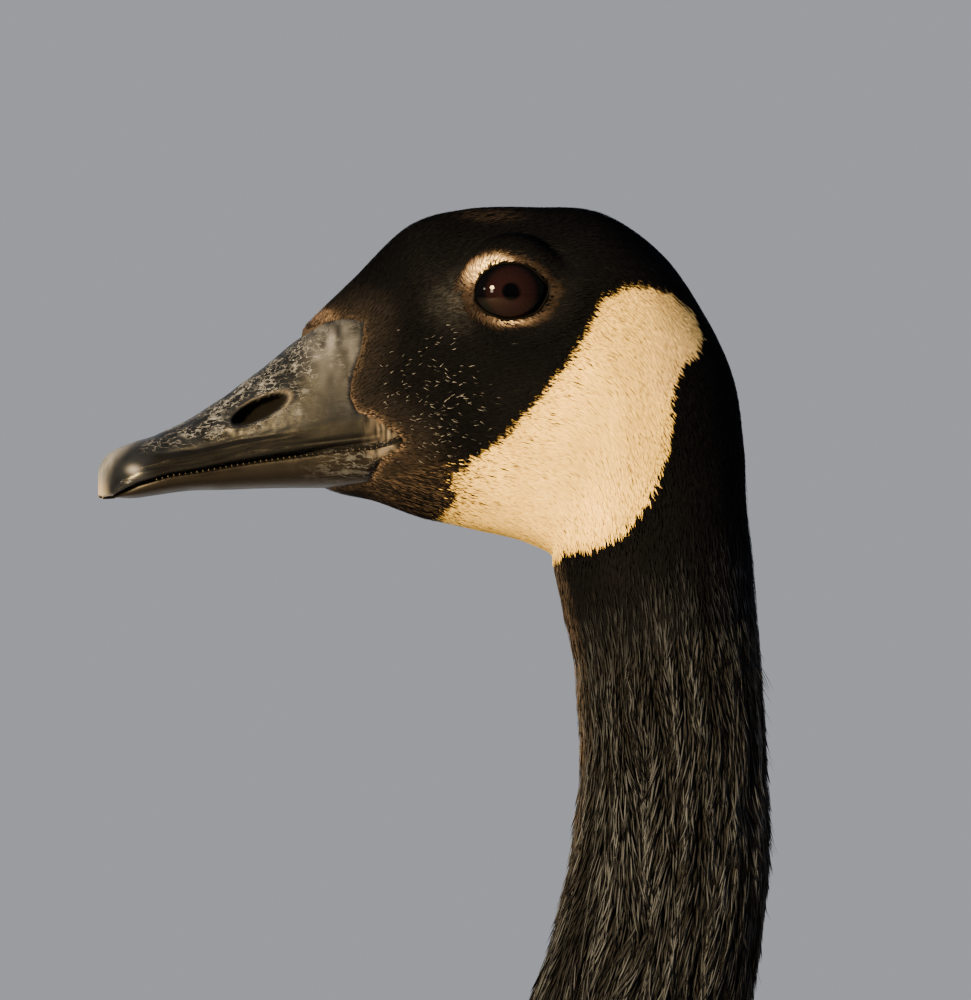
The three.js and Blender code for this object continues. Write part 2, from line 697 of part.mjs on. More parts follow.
// The web between the toes: two thin panels with a hollow front edge.
function webSolid(spines) {
  const panels = [];
  const rows = 5;
  const columns = 5;
  for (let t = 0; t < spines.length - 1; t++) {
    const upper = [];
    const lower = [];
    for (let i = 0; i < rows; i++) {
      upper.push([]);
      lower.push([]);
      for (let k = 0; k < columns; k++) {
        const side = k / (columns - 1);
        const pull = 1 - WEB.hollow * Math.sin(Math.PI * side);
        const at = WEB.from + (i / (rows - 1)) * WEB.run * pull;
        const [a, b] = [through(spines[t], at), through(spines[t + 1], at)];
        const [x, y] = add(a, add(b, a, -1), side);
        upper[i].push([x, y, WEB.thickness * (1 + 0.5 * Math.abs(2 * side - 1))]);
        lower[i].push([x, y, 0]);
      }
    }
    panels.push(solid(plate(upper, lower)));
  }
  return joined(panels);
}

// A claw on the end of a toe: a blunt, flattened cone that bends down to the floor.
function clawSolid(spine, size) {
  const [before, tip] = spine.slice(-2);
  const ahead = unit([tip[0] - before[0], tip[1] - before[1], 0]);
  const across = [-ahead[1], ahead[0], 0];
  const rows = [
    [0, 1, 1],
    [0.35, 0.86, 0.86],
    [0.7, 0.55, 0.6],
    [1, 0.16, 0.25],
  ];
  const rings = rows.map(([run, wide, high]) => {
    const centre = add(tip, ahead, GAP + run * CLAW.length * size);
    const low = Math.max(tip[2] - CLAW.height * size * 0.75 * (0.8 + 0.5 * run), 0.15);
    const top = low + CLAW.height * size * high;
    const ring = [];
    for (let k = 0; k < 8; k++) {
      const angle = (2 * Math.PI * k) / 8;
      const point = add(centre, across, CLAW.half * size * wide * Math.sin(angle));
      ring.push([point[0], point[1], mix(low, top, (1 + Math.cos(angle)) / 2)]);
    }
    return ring;
  });
  return solid(loft(rings));
}

// The tail: a fan of feathers out of the rump.
function tailSolid(rump) {
  const made = [rump];
  made.push(tailFeather(-1, 1, 0));
  for (let pair = 0; pair < TAIL.pairs; pair++) {
    const share = pair / (TAIL.pairs - 1);
    const [turn, out] = [mix(...TAIL.fan, share), mix(...TAIL.roots, share)];
    for (const side of [-1, 1]) made.push(tailFeather(pair, side, turn, out));
  }
  return joined(made);
}

// One feather of the tail: its layer below the middle pair, its side, its turn outwards in degrees
// and how far out its root is.
function tailFeather(layer, side, turn, out = 0) {
  const [ahead, across] = [Math.cos(radians(turn)), Math.sin(radians(turn))];
  const lay = (run, over) => {
    const far = run * TAIL.length * (1 - TAIL.rounding * Math.max(layer, 0));
    const x = side * (out + far * across + over * ahead);
    const back = TAIL.root[0] + far * ahead - over * across;
    const bulge = VANE.camber * (1 - (over / TAIL.half) ** 2);
    const up = TAIL.root[1] + TAIL.slope * far - TAIL.layer * layer + bulge;
    return { point: [x, back, up], outward: [0, 0, 1] };
  };
  return feather(lay, TAIL.half);
}

// The whole body is parted by thin cuts, and what grows on it is set against it.
const goose = new THREE.Group();
const materials = Object.fromEntries(
  Object.entries(PLAIN).map(([name, look]) => [name, new THREE.MeshStandardMaterial({ ...look, metalness: 0 })]),
);

// Puts a piece into the group, turned over to the bird's other side if asked.
function place(name, made, material, turnedOver = false) {
  const mesh = new THREE.Mesh(made.isBufferGeometry ? made : largest(made), materials[material]);
  mesh.name = name;
  if (turnedOver) mesh.scale.x = -1;
  goose.add(mesh);
  return mesh.geometry;
}

// Puts a piece and its mirror image into the group.
function placePair(name, made, material) {
  const geometry = place(`${name}_l`, made, material);
  place(`${name}_r`, geometry, material, true);
}

const whole = bodySolid();
const grown = bodySolid(GAP);

const cuts = [AT.throat, AT.neckMiddle, AT.neckBase, AT.tailBase].map((at) => stationCut(at));
const lengths = cuts
  .reduce((rest, cut) => rest.subtract(cut), whole)
  .decompose()
  .sort((a, b) => b.boundingBox().max[2] - a.boundingBox().max[2]);
const [headLength, neckUpper, neckLower, torso, rump] = lengths;

const behind = sidePlate([...besideLine(FEATHER_LINE, GAP / 2), [AROUND.behind, 600], [AROUND.behind, 745]]);
const bothSides = (made) => made.add(mirrored(made));
const head = headLength
  .intersect(behind)
  .subtract(bothSides(lidOpening()))
  .add(bothSides(lidSolid()))
  .subtract(bothSides(eyeSolid(GAP)));
const { upper, lower } = bill();

place("head", head, "black");
place("bill_upper", upper, "horn");
place("bill_lower", lower, "horn");
placePair("eye", eyeSolid(), "iris");
place("neck_upper", neckUpper, "black");
place("neck_lower", neckLower, "black");
place("torso", torso, "brown");
placePair("wing", joined([wingCore(), ...wingFeathers()]).subtract(grown), "brown");
place("tail", tailSolid(rump), "black");

for (const [side, stride, turnedOver] of [
  ["l", -LEG.stride, false],
  ["r", LEG.stride, true],
]) {
  const { thigh, shank, foot, claws } = leg(stride, grown);
  place(`thigh_${side}`, thigh, "brown", turnedOver);
  place(`shank_${side}`, shank, "skin", turnedOver);
  place(`foot_${side}`, foot, "skin", turnedOver);
  for (const [toe, claw] of Object.entries(claws)) place(`claw_${toe}_${side}`, claw, "horn", turnedOver);
}

// The origin is on the floor under the middle of the bird's box.
const box = new THREE.Box3().setFromObject(goose);
goose.position.y = -(box.min.y + box.max.y) / 2;

export default goose;
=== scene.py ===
"""A large Canada goose, life size, standing at rest with its neck raised, as a still model."""

import logging
import math
from dataclasses import dataclass, field
from enum import Enum
from functools import cache, partial, reduce
from typing import Callable, ClassVar

import bpy
import numpy as np
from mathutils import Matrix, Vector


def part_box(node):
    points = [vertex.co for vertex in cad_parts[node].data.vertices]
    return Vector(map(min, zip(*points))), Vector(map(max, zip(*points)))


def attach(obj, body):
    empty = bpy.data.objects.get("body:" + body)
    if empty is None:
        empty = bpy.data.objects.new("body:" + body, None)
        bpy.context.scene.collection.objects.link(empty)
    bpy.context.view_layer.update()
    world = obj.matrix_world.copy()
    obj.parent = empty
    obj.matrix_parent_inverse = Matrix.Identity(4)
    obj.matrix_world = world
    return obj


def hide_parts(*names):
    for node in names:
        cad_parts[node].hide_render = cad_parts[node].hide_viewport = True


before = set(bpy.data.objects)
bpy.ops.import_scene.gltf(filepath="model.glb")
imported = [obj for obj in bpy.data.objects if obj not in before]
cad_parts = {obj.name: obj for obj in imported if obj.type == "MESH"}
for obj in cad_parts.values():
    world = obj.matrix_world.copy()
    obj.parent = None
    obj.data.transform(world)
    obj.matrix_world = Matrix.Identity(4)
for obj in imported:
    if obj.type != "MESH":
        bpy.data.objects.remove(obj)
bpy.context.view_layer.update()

Array = np.ndarray
Pair = tuple[float, float]
Triple = tuple[float, float, float]
Table = tuple[Pair, ...]
Socket = bpy.types.NodeSocket
Tree = bpy.types.NodeTree
LOG = logging.getLogger("goose")
MM = 0.001

# The driving sizes are in millimetres: lengths run back from the bill's tip, heights up from the
# floor. A section is the point on the back or nape, the point on the throat or belly, and half the
# width: back, up, back, up, half.
BODY_SECTIONS = [
    (36, 706, 40, 684.5, 9.5), (44, 713.5, 50, 678.5, 12.6), (55, 724, 60, 676, 15.2),
    (67, 735.5, 70, 672.5, 17.6), (79, 739.4, 81, 670, 19.4), (94, 740, 90, 668, 21),
    (109, 738.7, 95.5, 666, 21.8), (122, 730.2, 98, 664.6, 21.8), (131.6, 717, 98.6, 663.2, 21.2),
    (137.8, 703.5, 99.2, 660.5, 20.4), (140.2, 689.5, 100, 657, 19.6), (141, 675, 101, 652.5, 19),
    (142.2, 662, 102.5, 646.5, 18.7), (143.5, 645, 104, 638, 18.6), (145, 620, 105.2, 616, 19),
    (145.4, 592, 101.5, 590, 20.4), (141.5, 563, 93.5, 564, 23), (137, 530, 82.5, 532, 27),
    (134, 500, 71, 496, 32), (134, 470, 59, 456, 39.5), (138, 444, 47.5, 410, 50),
    (147, 422, 40.5, 360, 63), (161, 404, 41, 308, 76), (182, 391, 55, 255, 87),
    (212, 382, 90, 207, 95), (252, 374, 143, 172, 100), (298, 363, 206, 155, 101),
    (345, 348, 271, 150, 98), (391, 330, 333, 157, 90), (434, 311, 389, 173, 77),
    (472, 293, 436, 194, 61), (504, 277, 475, 215, 46), (532, 264, 508, 230, 36),
    (557, 252, 541, 229, 30), (580, 241, 569, 223, 24), (600, 233, 592, 222, 17),
]
MANTLE_SECTIONS = [
    (150, 421, 38, 362, 67), (161, 406, 39, 306, 83), (182, 394, 53, 253, 96),
    (212, 386, 88, 204, 105), (252, 378, 141, 168, 110), (298, 368, 204, 151, 111),
    (345, 354, 269, 146, 108), (391, 338, 331, 152, 101), (437, 322, 391, 168, 90),
    (482, 308, 447, 190, 76), (524, 296, 499, 210, 60), (562, 284, 547, 228, 43),
    (596, 273, 589, 243, 25),
]
WING_EDGES = [
    (52, 82), (30, 100), (17, 110), (12, 114), (11, 115), (11, 113), (11, 109),
    (11, 104), (11, 98), (12, 91), (14, 83), (20, 73), (32, 58),
]
MANTLE_STARTS = 21  # the body section where the mantle hull begins
BODY_SPAN = (0, len(BODY_SECTIONS) - 1)

# Where the feathers of the face meet the bill, from the forehead to the chin.
FEATHER_LINE = [
    (30, 745), (41, 722), (45, 713.3), (53.5, 715.3), (57.6, 714.6), (57, 709), (55.2, 703.5), (54.6, 698.7),
    (56.2, 695.3), (60, 693.6), (63.6, 691.4), (66.4, 689.3), (64.8, 687.4), (61.4, 685.4), (59.4, 682.6),
    (58.4, 680.4), (53, 679.7), (44, 679.1), (38, 678.2), (34, 670),
]
MOUTH_LINE = [
    (-8, 680.5), (1.2, 677), (3.4, 677.2), (9.2, 679.8), (16, 681.7), (22.4, 682.6), (29.6, 683.9),
    (36, 684.9), (52, 687), (60, 687.6), (64, 688.6), (67, 690), (75, 692),
]
# The two grooves above the mouth line that bound the smooth band of the upper bill.
GROOVE_LINE = [
    (5, 682.2), (9.1, 682.8), (22.4, 684.8), (32.6, 686.7), (39.6, 687.8), (60.2, 690.2), (75, 693),
]
BAND_LINE = [(5, 685.2), (9.8, 685.7), (22, 687.3), (30.7, 689.4), (44, 691.4), (60, 694), (75, 697)]
BILL_LINES = [
    # back, culmen, lower edge, half-width of the upper bill, half-width of the lower bill
    (0.1, 683, 678.6, 2.4, 0.6),
    (1.6, 685.6, 677.1, 5.4, 1.2),
    (4.2, 687.4, 676.8, 7.9, 5.2),
    (8, 688.9, 676.7, 9.5, 7.6),
    (13, 690.6, 677.4, 10.3, 8.8),
    (20, 694, 678.3, 10.6, 9.3),
    (28, 699.2, 678.5, 11, 9.7),
    (36, 705.2, 678.8, 12.1, 10.4),
    (44, 711.5, 678.9, 13.3, 11.4),
    (54, 716.5, 678.9, 14.5, 12.6),
    (66, 718, 679, 15.3, 13.4),
]
# The pale patch on the cheek, seen from the side; it runs on under the throat.
CHEEK_PATCH = [
    (109.1, 719.8), (107, 715.4), (103.7, 708.9), (100.4, 704.6), (93.9, 695.9), (87.4, 689.3), (80.9, 684.6),
    (77, 681.1), (77.6, 676.3), (74.3, 672), (76, 655), (96, 660), (101, 665.4), (107, 666.4), (113.5, 669.2),
    (117.8, 674.4), (121.1, 680.6), (123.3, 686.8), (123.9, 691.5), (124.8, 702.4), (126.5, 705.7),
    (129.8, 708.5), (130.7, 712.2), (128.7, 717.6), (124.3, 721.3), (118.9, 723), (113.5, 722.4),
]


class Side(Enum):
    """A side of the bird, as the sign of its x."""

    LEFT = 1
    RIGHT = -1

    @property
    def tag(self) -> str:
        """The ending of this side's node names."""
        return "l" if self is Side.LEFT else "r"


class Slot(Enum):
    """The finishes that the part's record names."""

    BLACK = "black_feather"
    BODY = "body_feather"
    WING = "wing_feather"
    HORN = "bill_horn"
    EYE = "eye"
    SKIN = "leg_skin"
    CLAW = "claw"


def tone(red: float, green: float, blue: float) -> Array:
    """A display colour from 0 to 255 as linear light."""
    shade = np.array([red, green, blue], float) / 255
    return np.where(shade <= 0.04045, shade / 12.92, ((shade + 0.055) / 1.055) ** 2.4)


BLACK = tone(6, 7, 11)
WARM_BLACK = tone(17, 18, 22)
SHEEN = tone(104, 111, 124)
CREAM = tone(240, 204, 110)
TAN = tone(80, 68, 59)
SMOKE = tone(58, 60, 64)
BUFF = tone(140, 131, 121)
BREAST = tone(125, 119, 112)
BROWN = tone(67, 63, 61)
DARK_BROWN = tone(43, 40, 39)
WHITE = tone(222, 221, 219)
QUILL_BLACK = tone(21, 20, 20)


def smooth(low: float, high: float, value: Array) -> Array:
    """An eased step from 0 at low to 1 at high."""
    share = np.clip((np.asarray(value, float) - low) / (high - low), 0, 1)
    return share * share * (3 - 2 * share)


def blend(first: Array, second: Array, share: Array) -> Array:
    """A mixture of two colours, or arrays of them, by a share for each place."""
    share = np.asarray(share, float)[..., None]
    return first * (1 - share) + second * share


def unit(vectors: Array) -> Array:
    """The same directions with length 1."""
    return vectors / np.maximum(np.linalg.norm(vectors, axis=-1, keepdims=True), 1e-9)


def dot(first: Array, second: Array) -> Array:
    """The scalar product, row by row."""
    return np.sum(first * second, axis=-1)


def wander(points: Array, size: float, seed: int = 0) -> Array:
    """Smooth noise over space.

    Args:
        points: places, one per row.
        size: the width of one bump, in the units of the places.
        seed: which noise.

    Returns:
        A value from -1 to 1 for each place.
    """
    scaled = points / size + seed * 17.31
    cell = np.floor(scaled).astype(np.int64)
    part = scaled - cell
    part = part * part * (3 - 2 * part)
    total = np.zeros(points.shape[:-1])
    for corner in range(8):
        step = np.array([corner & 1, corner >> 1 & 1, corner >> 2 & 1])
        at = cell + step
        mixed = (at[..., 0] * 73856093) ^ (at[..., 1] * 19349663) ^ (at[..., 2] * 83492791)
        mixed = (mixed ^ (mixed >> 13)) * 1274126177 & 0xFFFFFFFF
        value = (mixed ^ (mixed >> 16)) % 65521 / 32760.0 - 1
        total += value * np.prod(np.where(step == 1, part, 1 - part), axis=-1)
    return total


def through(rows: Array, at: Array) -> Array:
    """A smooth curve through equally spaced rows of numbers.

    Args:
        rows: the rows that the curve passes.
        at: fractional row numbers, of any shape.

    Returns:
        The rows there, with one more axis than at.
    """
    rows = np.asarray(rows, float)
    padded = np.vstack([2 * rows[0] - rows[1], rows, 2 * rows[-1] - rows[-2]])
    at = np.asarray(at, float)
    before = np.clip(np.floor(at).astype(int), 0, len(rows) - 2)
    t = (at - before)[..., None]
    a, b, c, d = (padded[before + k] for k in range(4))
    slope_in, slope_out, rise = (c - a) / 2, (d - b) / 2, c - b
    bend = 3 * rise - 2 * slope_in - slope_out
    return b + t * (slope_in + t * (bend + t * (slope_in + slope_out - 2 * rise)))


def read(table: list[Pair] | Table, at: Array) -> Array:
    """The second column of a table, read at some values of its first."""
    return np.interp(at, *np.array(table, float).T)


def circle(count: int) -> Array:
    """Equally spaced angles round a full turn."""
    return np.linspace(0, 2 * np.pi, count, endpoint=False)


def spot(back: Array, up: Array, centre: Pair, spread: Pair) -> Array:
    """A soft spot, 1 in its middle, over places seen from the side."""
    return np.exp(-(((back - centre[0]) / spread[0]) ** 2) - ((up - centre[1]) / spread[1]) ** 2)


def inside(outline: list[Pair], places: Array) -> Array:
    """How far places lie inside a closed outline.

    Args:
        outline: (back, up) corners.
        places: (back, up) rows.

    Returns:
        The distance to the outline, positive inside and negative outside.
    """
    start = np.array(outline, float)
    end = np.roll(start, -1, axis=0)
    nearest = np.full(len(places), np.inf)
    odd = np.zeros(len(places), bool)
    for a, b in zip(start, end):
        run = b - a
        share = np.clip(((places - a) @ run) / (run @ run), 0, 1)
        nearest = np.minimum(nearest, np.linalg.norm(places - a - share[:, None] * run, axis=1))
        spans = (a[1] > places[:, 1]) != (b[1] > places[:, 1])
        rise = b[1] - a[1] if b[1] != a[1] else 1e-9
        odd ^= spans & (places[:, 0] < a[0] + (places[:, 1] - a[1]) * run[0] / rise)
    return np.where(odd, nearest, -nearest)


def behind_feather_line(places: Array) -> Array:
    """How far (back, up) rows lie behind the line where the face meets the bill."""
    return inside([*FEATHER_LINE, (20, 640), (20, 0), (900, 0), (900, 900), (30, 900)], places)


@dataclass(frozen=True)
class EyeSizes:
    """The eye: its middle, the apex's distance from the bird's middle, its half-sizes and its lids' edge.

    The edge is given by steps back and up from the eye's middle, from the rear corner over the top.
    """

    back: float = 89.6
    up: float = 721.5
    apex: float = 19.9
    half: Triple = (6.6, 9.3, 8.2)
    pupil: float = 1.9
    iris: float = 5.6
    edge: Table = (
        (8.3, 0.4), (6.7, 2.7), (5, 4.4), (2.9, 5.6), (0.2, 6), (-2.4, 5.7), (-5, 4.3), (-6.9, 2.2),
        (-7.7, 0), (-7.8, -1.8), (-6.1, -3.9), (-3.7, -5.3), (-1.1, -6.1), (1.6, -6), (4.5, -5.1),
        (6.7, -3.4),
    )

    def radius(self, turn: Array) -> Array:
        """How far the lids' edge is from the middle, by the angle from straight back over the top.

        Args:
            turn: The angles.

        Returns:
            The distances in mm.
        """
        points = np.array(self.edge)
        closed = np.vstack([points[-1:], points, points[:2]])
        line = through(closed, np.linspace(1, len(points) + 1, 160)).T
        return np.interp(turn, np.arctan2(*line[::-1]), np.hypot(*line), period=2 * np.pi)

    def around(self, places: Array) -> tuple[Array, Array]:
        """Seen from the side, how far (back, up) rows lie beyond the lids' edge, and at which angle.

        Args:
            places: Places seen from the side.

        Returns:
            The distances and the angles.
        """
        back, up = places[..., 0] - self.back, places[..., 1] - self.up
        turn = np.arctan2(up, back)
        return np.hypot(back, up) - self.radius(turn), turn

    def ball(self, back: Array, up: Array) -> Array:
        """How far out the eyeball's surface is, at steps back and up from its middle."""
        share = (back / self.half[1]) ** 2 + (up / self.half[2]) ** 2
        return self.apex - self.half[0] * (1 - np.sqrt(np.clip(1 - share, 0, 1)))

    def lid_out(self, turn: Array) -> Array:
        """How far out the eyeball is at the lids' edge."""
        radius = self.radius(turn)
        return self.ball(radius * np.cos(turn), radius * np.sin(turn))


EYE = EyeSizes()


class Hull:
    """A smooth closed form through sections, with a place for each station and angle from the back."""

    def __init__(
        self,
        sections: list[tuple[float, ...]] | Array,
        outs: Array | float = 0.0,
        relief: Callable[[Array, Array, Array], Array] | None = None,
    ) -> None:
        """Keep the sections.

        Args:
            sections: rows of back, up, back, up and half, front to back.
            outs: how far each section's middle is from the bird's middle.
            relief: how far the surface stands off the plain form, from stations, angles and places.
        """
        rows = np.array(sections, float)
        self.rows = np.column_stack([rows, np.broadcast_to(outs, len(rows))])
        self.relief = relief

    def plain(self, at: Array, angle: Array, lift: Array | float = 0.0) -> Array:
        """Places on the plain form, as (x, back, up) rows.

        Args:
            at: The station along the sections.
            angle: The angle from the back, in radians.
            lift: The height over the skin.

        Returns:
            Places in mm.
        """
        s = through(self.rows, at)
        rise = (s[..., 0:2] - s[..., 2:4]) / 2
        reach = 1 + lift / np.linalg.norm(rise, axis=-1)
        middle = (s[..., 0:2] + s[..., 2:4]) / 2
        turned = middle + rise * (np.cos(angle) * reach)[..., None]
        x = s[..., 5] + (s[..., 4] + lift) * np.sin(angle)
        return np.concatenate([x[..., None], turned], axis=-1)

    def point(self, at: Array, angle: Array, lift: Array | float = 0.0) -> Array:
        """Places on the form with its relief.

        Args:
            at: The station along the sections.
            angle: The angle from the back, in radians.
            lift: The height over the skin.

        Returns:
            Places in mm.
        """
        if self.relief is None:
            return self.plain(at, angle, lift)
        return self.plain(at, angle, lift + self.relief(at, angle, self.plain(at, angle)))

    def slopes(self, at: Array, angle: Array) -> tuple[Array, Array, Array]:
        """How a place moves with its station and its angle, and its outward direction.

        Args:
            at: The station along the sections.
            angle: The angle from the back, in radians.

        Returns:
            The two directions, and the one outwards.
        """
        step = 0.02
        along = (self.point(at + step, angle) - self.point(at - step, angle)) / (2 * step)
        around = (self.point(at, angle + step) - self.point(at, angle - step)) / (2 * step)
        return along, around, unit(np.cross(around, along))


def furrow(angle: Array, place: Array) -> Array:
    """The uneven locks down the neck, from -1 in a groove to 1 on a ridge.

    Args:
        angle: The angle from the back.
        place: Places in mm.

    Returns:
        The depth in mm.
    """
    girth = 21
    rolled = np.stack([girth * np.sin(angle), girth * np.cos(angle), place[..., 2] * 0.11], axis=-1)
    rolled[..., 0] += 1.6 * wander(place, 26, 6)
    return np.clip(1.4 * wander(rolled, 2.9, 3) + 0.6 * wander(rolled, 1.3, 4), -1, 1)


def body_relief(at: Array, angle: Array, place: Array) -> Array:
    """The forms that the body has beyond its sections: lore, brow, cheek, eye and neck furrows.

    Args:
        at: The station along the sections.
        angle: The angle from the back, in radians.
        place: Places in mm.

    Returns:
        The lift in mm.
    """
    back, up = place[..., 1], place[..., 2]
    mound = partial(spot, back, up)
    side = np.abs(np.sin(angle))
    lore, brow, cheek = mound((73, 716), (8, 4.5)), mound((93, 732), (12, 4)), mound((104, 692), (17, 15))
    head = -1.2 * lore - 0.3 * brow + 0.9 * cheek
    beyond, turn = EYE.around(place[..., 1:3])
    near = (1 - smooth(0.3, 7, beyond)) * (up > 690) * (at < 12)
    socket = (EYE.lid_out(turn) + 0.55 - np.abs(place[..., 0])) / np.maximum(side, 0.4)
    neck = smooth(12.4, 14, at) * (1 - smooth(18, 19.6, at))
    return head * side * (1 - near) + socket * near + 0.4 * neck * furrow(angle, place)


BODY = Hull(BODY_SECTIONS, relief=body_relief)
MANTLE = Hull(MANTLE_SECTIONS)


def wing_angle(at: Array, share: Array) -> Array:
    """The angle at a share of the folded wing's breadth, from its upper to its lower edge."""
    edges = np.radians(through(np.array(WING_EDGES), at))
    return edges[..., 0] * (1 - share) + edges[..., 1] * share


# Pieces: arrays of places and faces become named objects in the frame.
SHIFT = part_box("bill_upper")[0][1] / MM - BILL_LINES[0][0]


def in_frame(places: Array) -> Array:
    """Places in millimetres from the bill's tip as places in metres in the part's frame."""
    return (places + (0, SHIFT, 0)) * MM


def enrolled(piece: bpy.types.Object, slot: Slot, *nodes: str) -> bpy.types.Object:
    """Join a finished object to the part, in place of some solids.

    Args:
        piece: The object.
        slot: Its slot; not used.
        *nodes: The solids that it replaces.

    Returns:
        The same object.
    """
    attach(piece, "root")
    if nodes:
        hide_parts(*nodes)
    LOG.info("%s: %d triangles", piece.name, sum(len(p.vertices) - 2 for p in piece.data.polygons))
    return piece


@dataclass
class Shape:
    """A mesh as arrays, in millimetres.

    Its marks are values at its points, by name: one column is a mask, two a flat map, three a colour,
    or the direction that the point is shaded by.
    """

    places: Array
    faces: list[Array]
    marks: dict[str, Array] = field(default_factory=dict)

    def joined(self, other: "Shape") -> "Shape":
        """Both shapes as one, with the marks that both have.

        Args:
            other: The other shape.

        Returns:
            The two as one.
        """
        marks = {name: np.concatenate([mark, other.marks[name]]) for name, mark in self.marks.items()
                 if name in other.marks}
        shifted = [faces + len(self.places) for faces in other.faces]
        return Shape(np.concatenate([self.places, other.places]), [*self.faces, *shifted], marks)

    def mirrored(self) -> "Shape":
        """The same shape on the bird's other side."""
        marks = {name: mark * (-1, 1, 1) if name == NORMAL else mark for name, mark in self.marks.items()}
        return Shape(self.places * (-1, 1, 1), [rows[:, ::-1] for rows in self.faces], marks)

    def on(self, side: Side) -> "Shape":
        """The shape, made for the left, on one side of the bird."""
        return self if side is Side.LEFT else self.mirrored()

    def volume(self) -> float:
        """The signed volume that the faces enclose.

        Returns:
            The volume in cubic mm.
        """
        total = 0.0
        for rows in self.faces:
            a = self.places[rows[:, 0]]
            for k in range(1, rows.shape[1] - 1):
                total += dot(a, np.cross(self.places[rows[:, k]], self.places[rows[:, k + 1]])).sum()
        return total / 6

    def build(self, name: str, material: bpy.types.Material, slot: Slot, *nodes: str) -> bpy.types.Object:
        """Make the object and join it to the part.

        Args:
            name: the piece's name.
            material: its finish.
            slot: the record's slot for it.
            *nodes: the solids that it stands for.

        Returns:
            The new object.
        """
        faces = self.faces if self.volume() > 0 else [rows[:, ::-1] for rows in self.faces]
        corners = np.concatenate([rows.ravel() for rows in faces]).astype(np.int32)
        sizes = np.concatenate([np.full(len(rows), rows.shape[1]) for rows in faces])
        mesh = bpy.data.meshes.new(name)
        mesh.vertices.add(len(self.places))
        mesh.vertices.foreach_set("co", in_frame(self.places).astype(np.float32).ravel())
        mesh.loops.add(len(corners))
        mesh.loops.foreach_set("vertex_index", corners)
        mesh.polygons.add(len(sizes))
        mesh.polygons.foreach_set("loop_start", (np.cumsum(sizes) - sizes).astype(np.int32))
        mesh.update(calc_edges=True)
        mesh.polygons.foreach_set("use_smooth", np.ones(len(sizes), bool))
        for title, mark in self.marks.items():
            values = mark.astype(np.float32)
            if title == NORMAL:
                mesh.attributes.new(title, "FLOAT_VECTOR", "POINT").data.foreach_set("vector", values.ravel())
            elif mark.ndim == 1:
                mesh.attributes.new(title, "FLOAT", "POINT").data.foreach_set("value", values)
            elif mark.shape[1] == 2:
                mesh.uv_layers.new(name=title).data.foreach_set("uv", values[corners].ravel())
            else:
                colours = np.column_stack([values, np.ones(len(values), np.float32)])
                mesh.attributes.new(title, "FLOAT_COLOR", "POINT").data.foreach_set("color", colours.ravel())
        mesh.materials.append(material)
        piece = bpy.data.objects.new(name, mesh)
        bpy.context.scene.collection.objects.link(piece)
        return enrolled(piece, slot, *nodes)


def tube(rings: Array, **marks: Array) -> Shape:
    """A closed form through rings of points.

    Args:
        rings: rings by points by (x, back, up).
        **marks: marks for each point, in the same order.

    Returns:
        The shape, with a point in the middle of each end.
    """
    count, sides, _ = rings.shape
    grid = np.arange(count * sides).reshape(count, sides)
    turned = np.roll(grid, -1, axis=1)
    walls = np.stack([grid[:-1], turned[:-1], turned[1:], grid[1:]], axis=-1).reshape(-1, 4)
    first, last = np.full(sides, count * sides), np.full(sides, count * sides + 1)
    caps = [np.stack([first, turned[0], grid[0]], axis=-1), np.stack([last, grid[-1], turned[-1]], axis=-1)]

    def padded(values: Array) -> Array:
        """Values for every point, and for the middle of each end."""
        flat = values.reshape(count * sides, *values.shape[2:])
        return np.concatenate([flat, np.stack([values[0].mean(axis=0), values[-1].mean(axis=0)])])

    return Shape(padded(rings), [walls, *caps], {name: padded(mark) for name, mark in marks.items()})


# Plumage: small tufts and broad feathers, laid on a hull.
EVEN_STEPS = (0.7548776662466927, 0.5698402909980532)  # fill a square evenly, however many are drawn
BAKE_PATCH = 0.003
NORMAL = "custom_normal"


@dataclass
class Roots:
    """Where feathers grow on a hull."""

    at: Array
    angle: Array

    def kept(self, which: Array) -> "Roots":
        """Only some of the roots."""
        return Roots(self.at[which], self.angle[which])


def scatter(hull: Hull, span: Pair, spacing: Callable[[Array, Array], Array], seed: int) -> Roots:
    """Spread roots evenly over a stretch of a hull.

    Args:
        hull: what they grow on.
        span: the first and last station.
        spacing: the distance between roots in millimetres, from stations and angles.
        seed: which spread.

    Returns:
        The roots.
    """
    cells = (420, 180)
    at = np.linspace(*span, cells[0] * 2 + 1)[1::2]
    angle = np.linspace(-np.pi, np.pi, cells[1] * 2 + 1)[1::2]
    grid_at, grid_angle = np.meshgrid(at, angle, indexing="ij")
    along, around, _ = hull.slopes(grid_at, grid_angle)
    area = np.linalg.norm(np.cross(along, around), axis=-1)
    area *= (span[1] - span[0]) / cells[0] * 2 * np.pi / cells[1]
    weight = area / spacing(grid_at, grid_angle) ** 2
    count = int(weight.sum())
    draw = np.random.default_rng(seed)
    k = np.arange(count)
    across, down = ((0.5 + step * k) % 1 for step in EVEN_STEPS)
    edges = np.concatenate([[0], np.cumsum(weight.sum(axis=1))]) / weight.sum()
    place = np.interp(down, edges, np.arange(cells[0] + 1))
    row = np.minimum(place.astype(int), cells[0] - 1)
    shares = np.cumsum(weight, axis=1) / weight.sum(axis=1, keepdims=True)
    column = np.searchsorted((shares + np.arange(cells[0])[:, None]).ravel(), row + across) - row * cells[1]
    column = np.clip(column, 0, cells[1] - 1) + draw.random(count)
    return Roots(span[0] + place / cells[0] * (span[1] - span[0]), column / cells[1] * 2 * np.pi - np.pi)


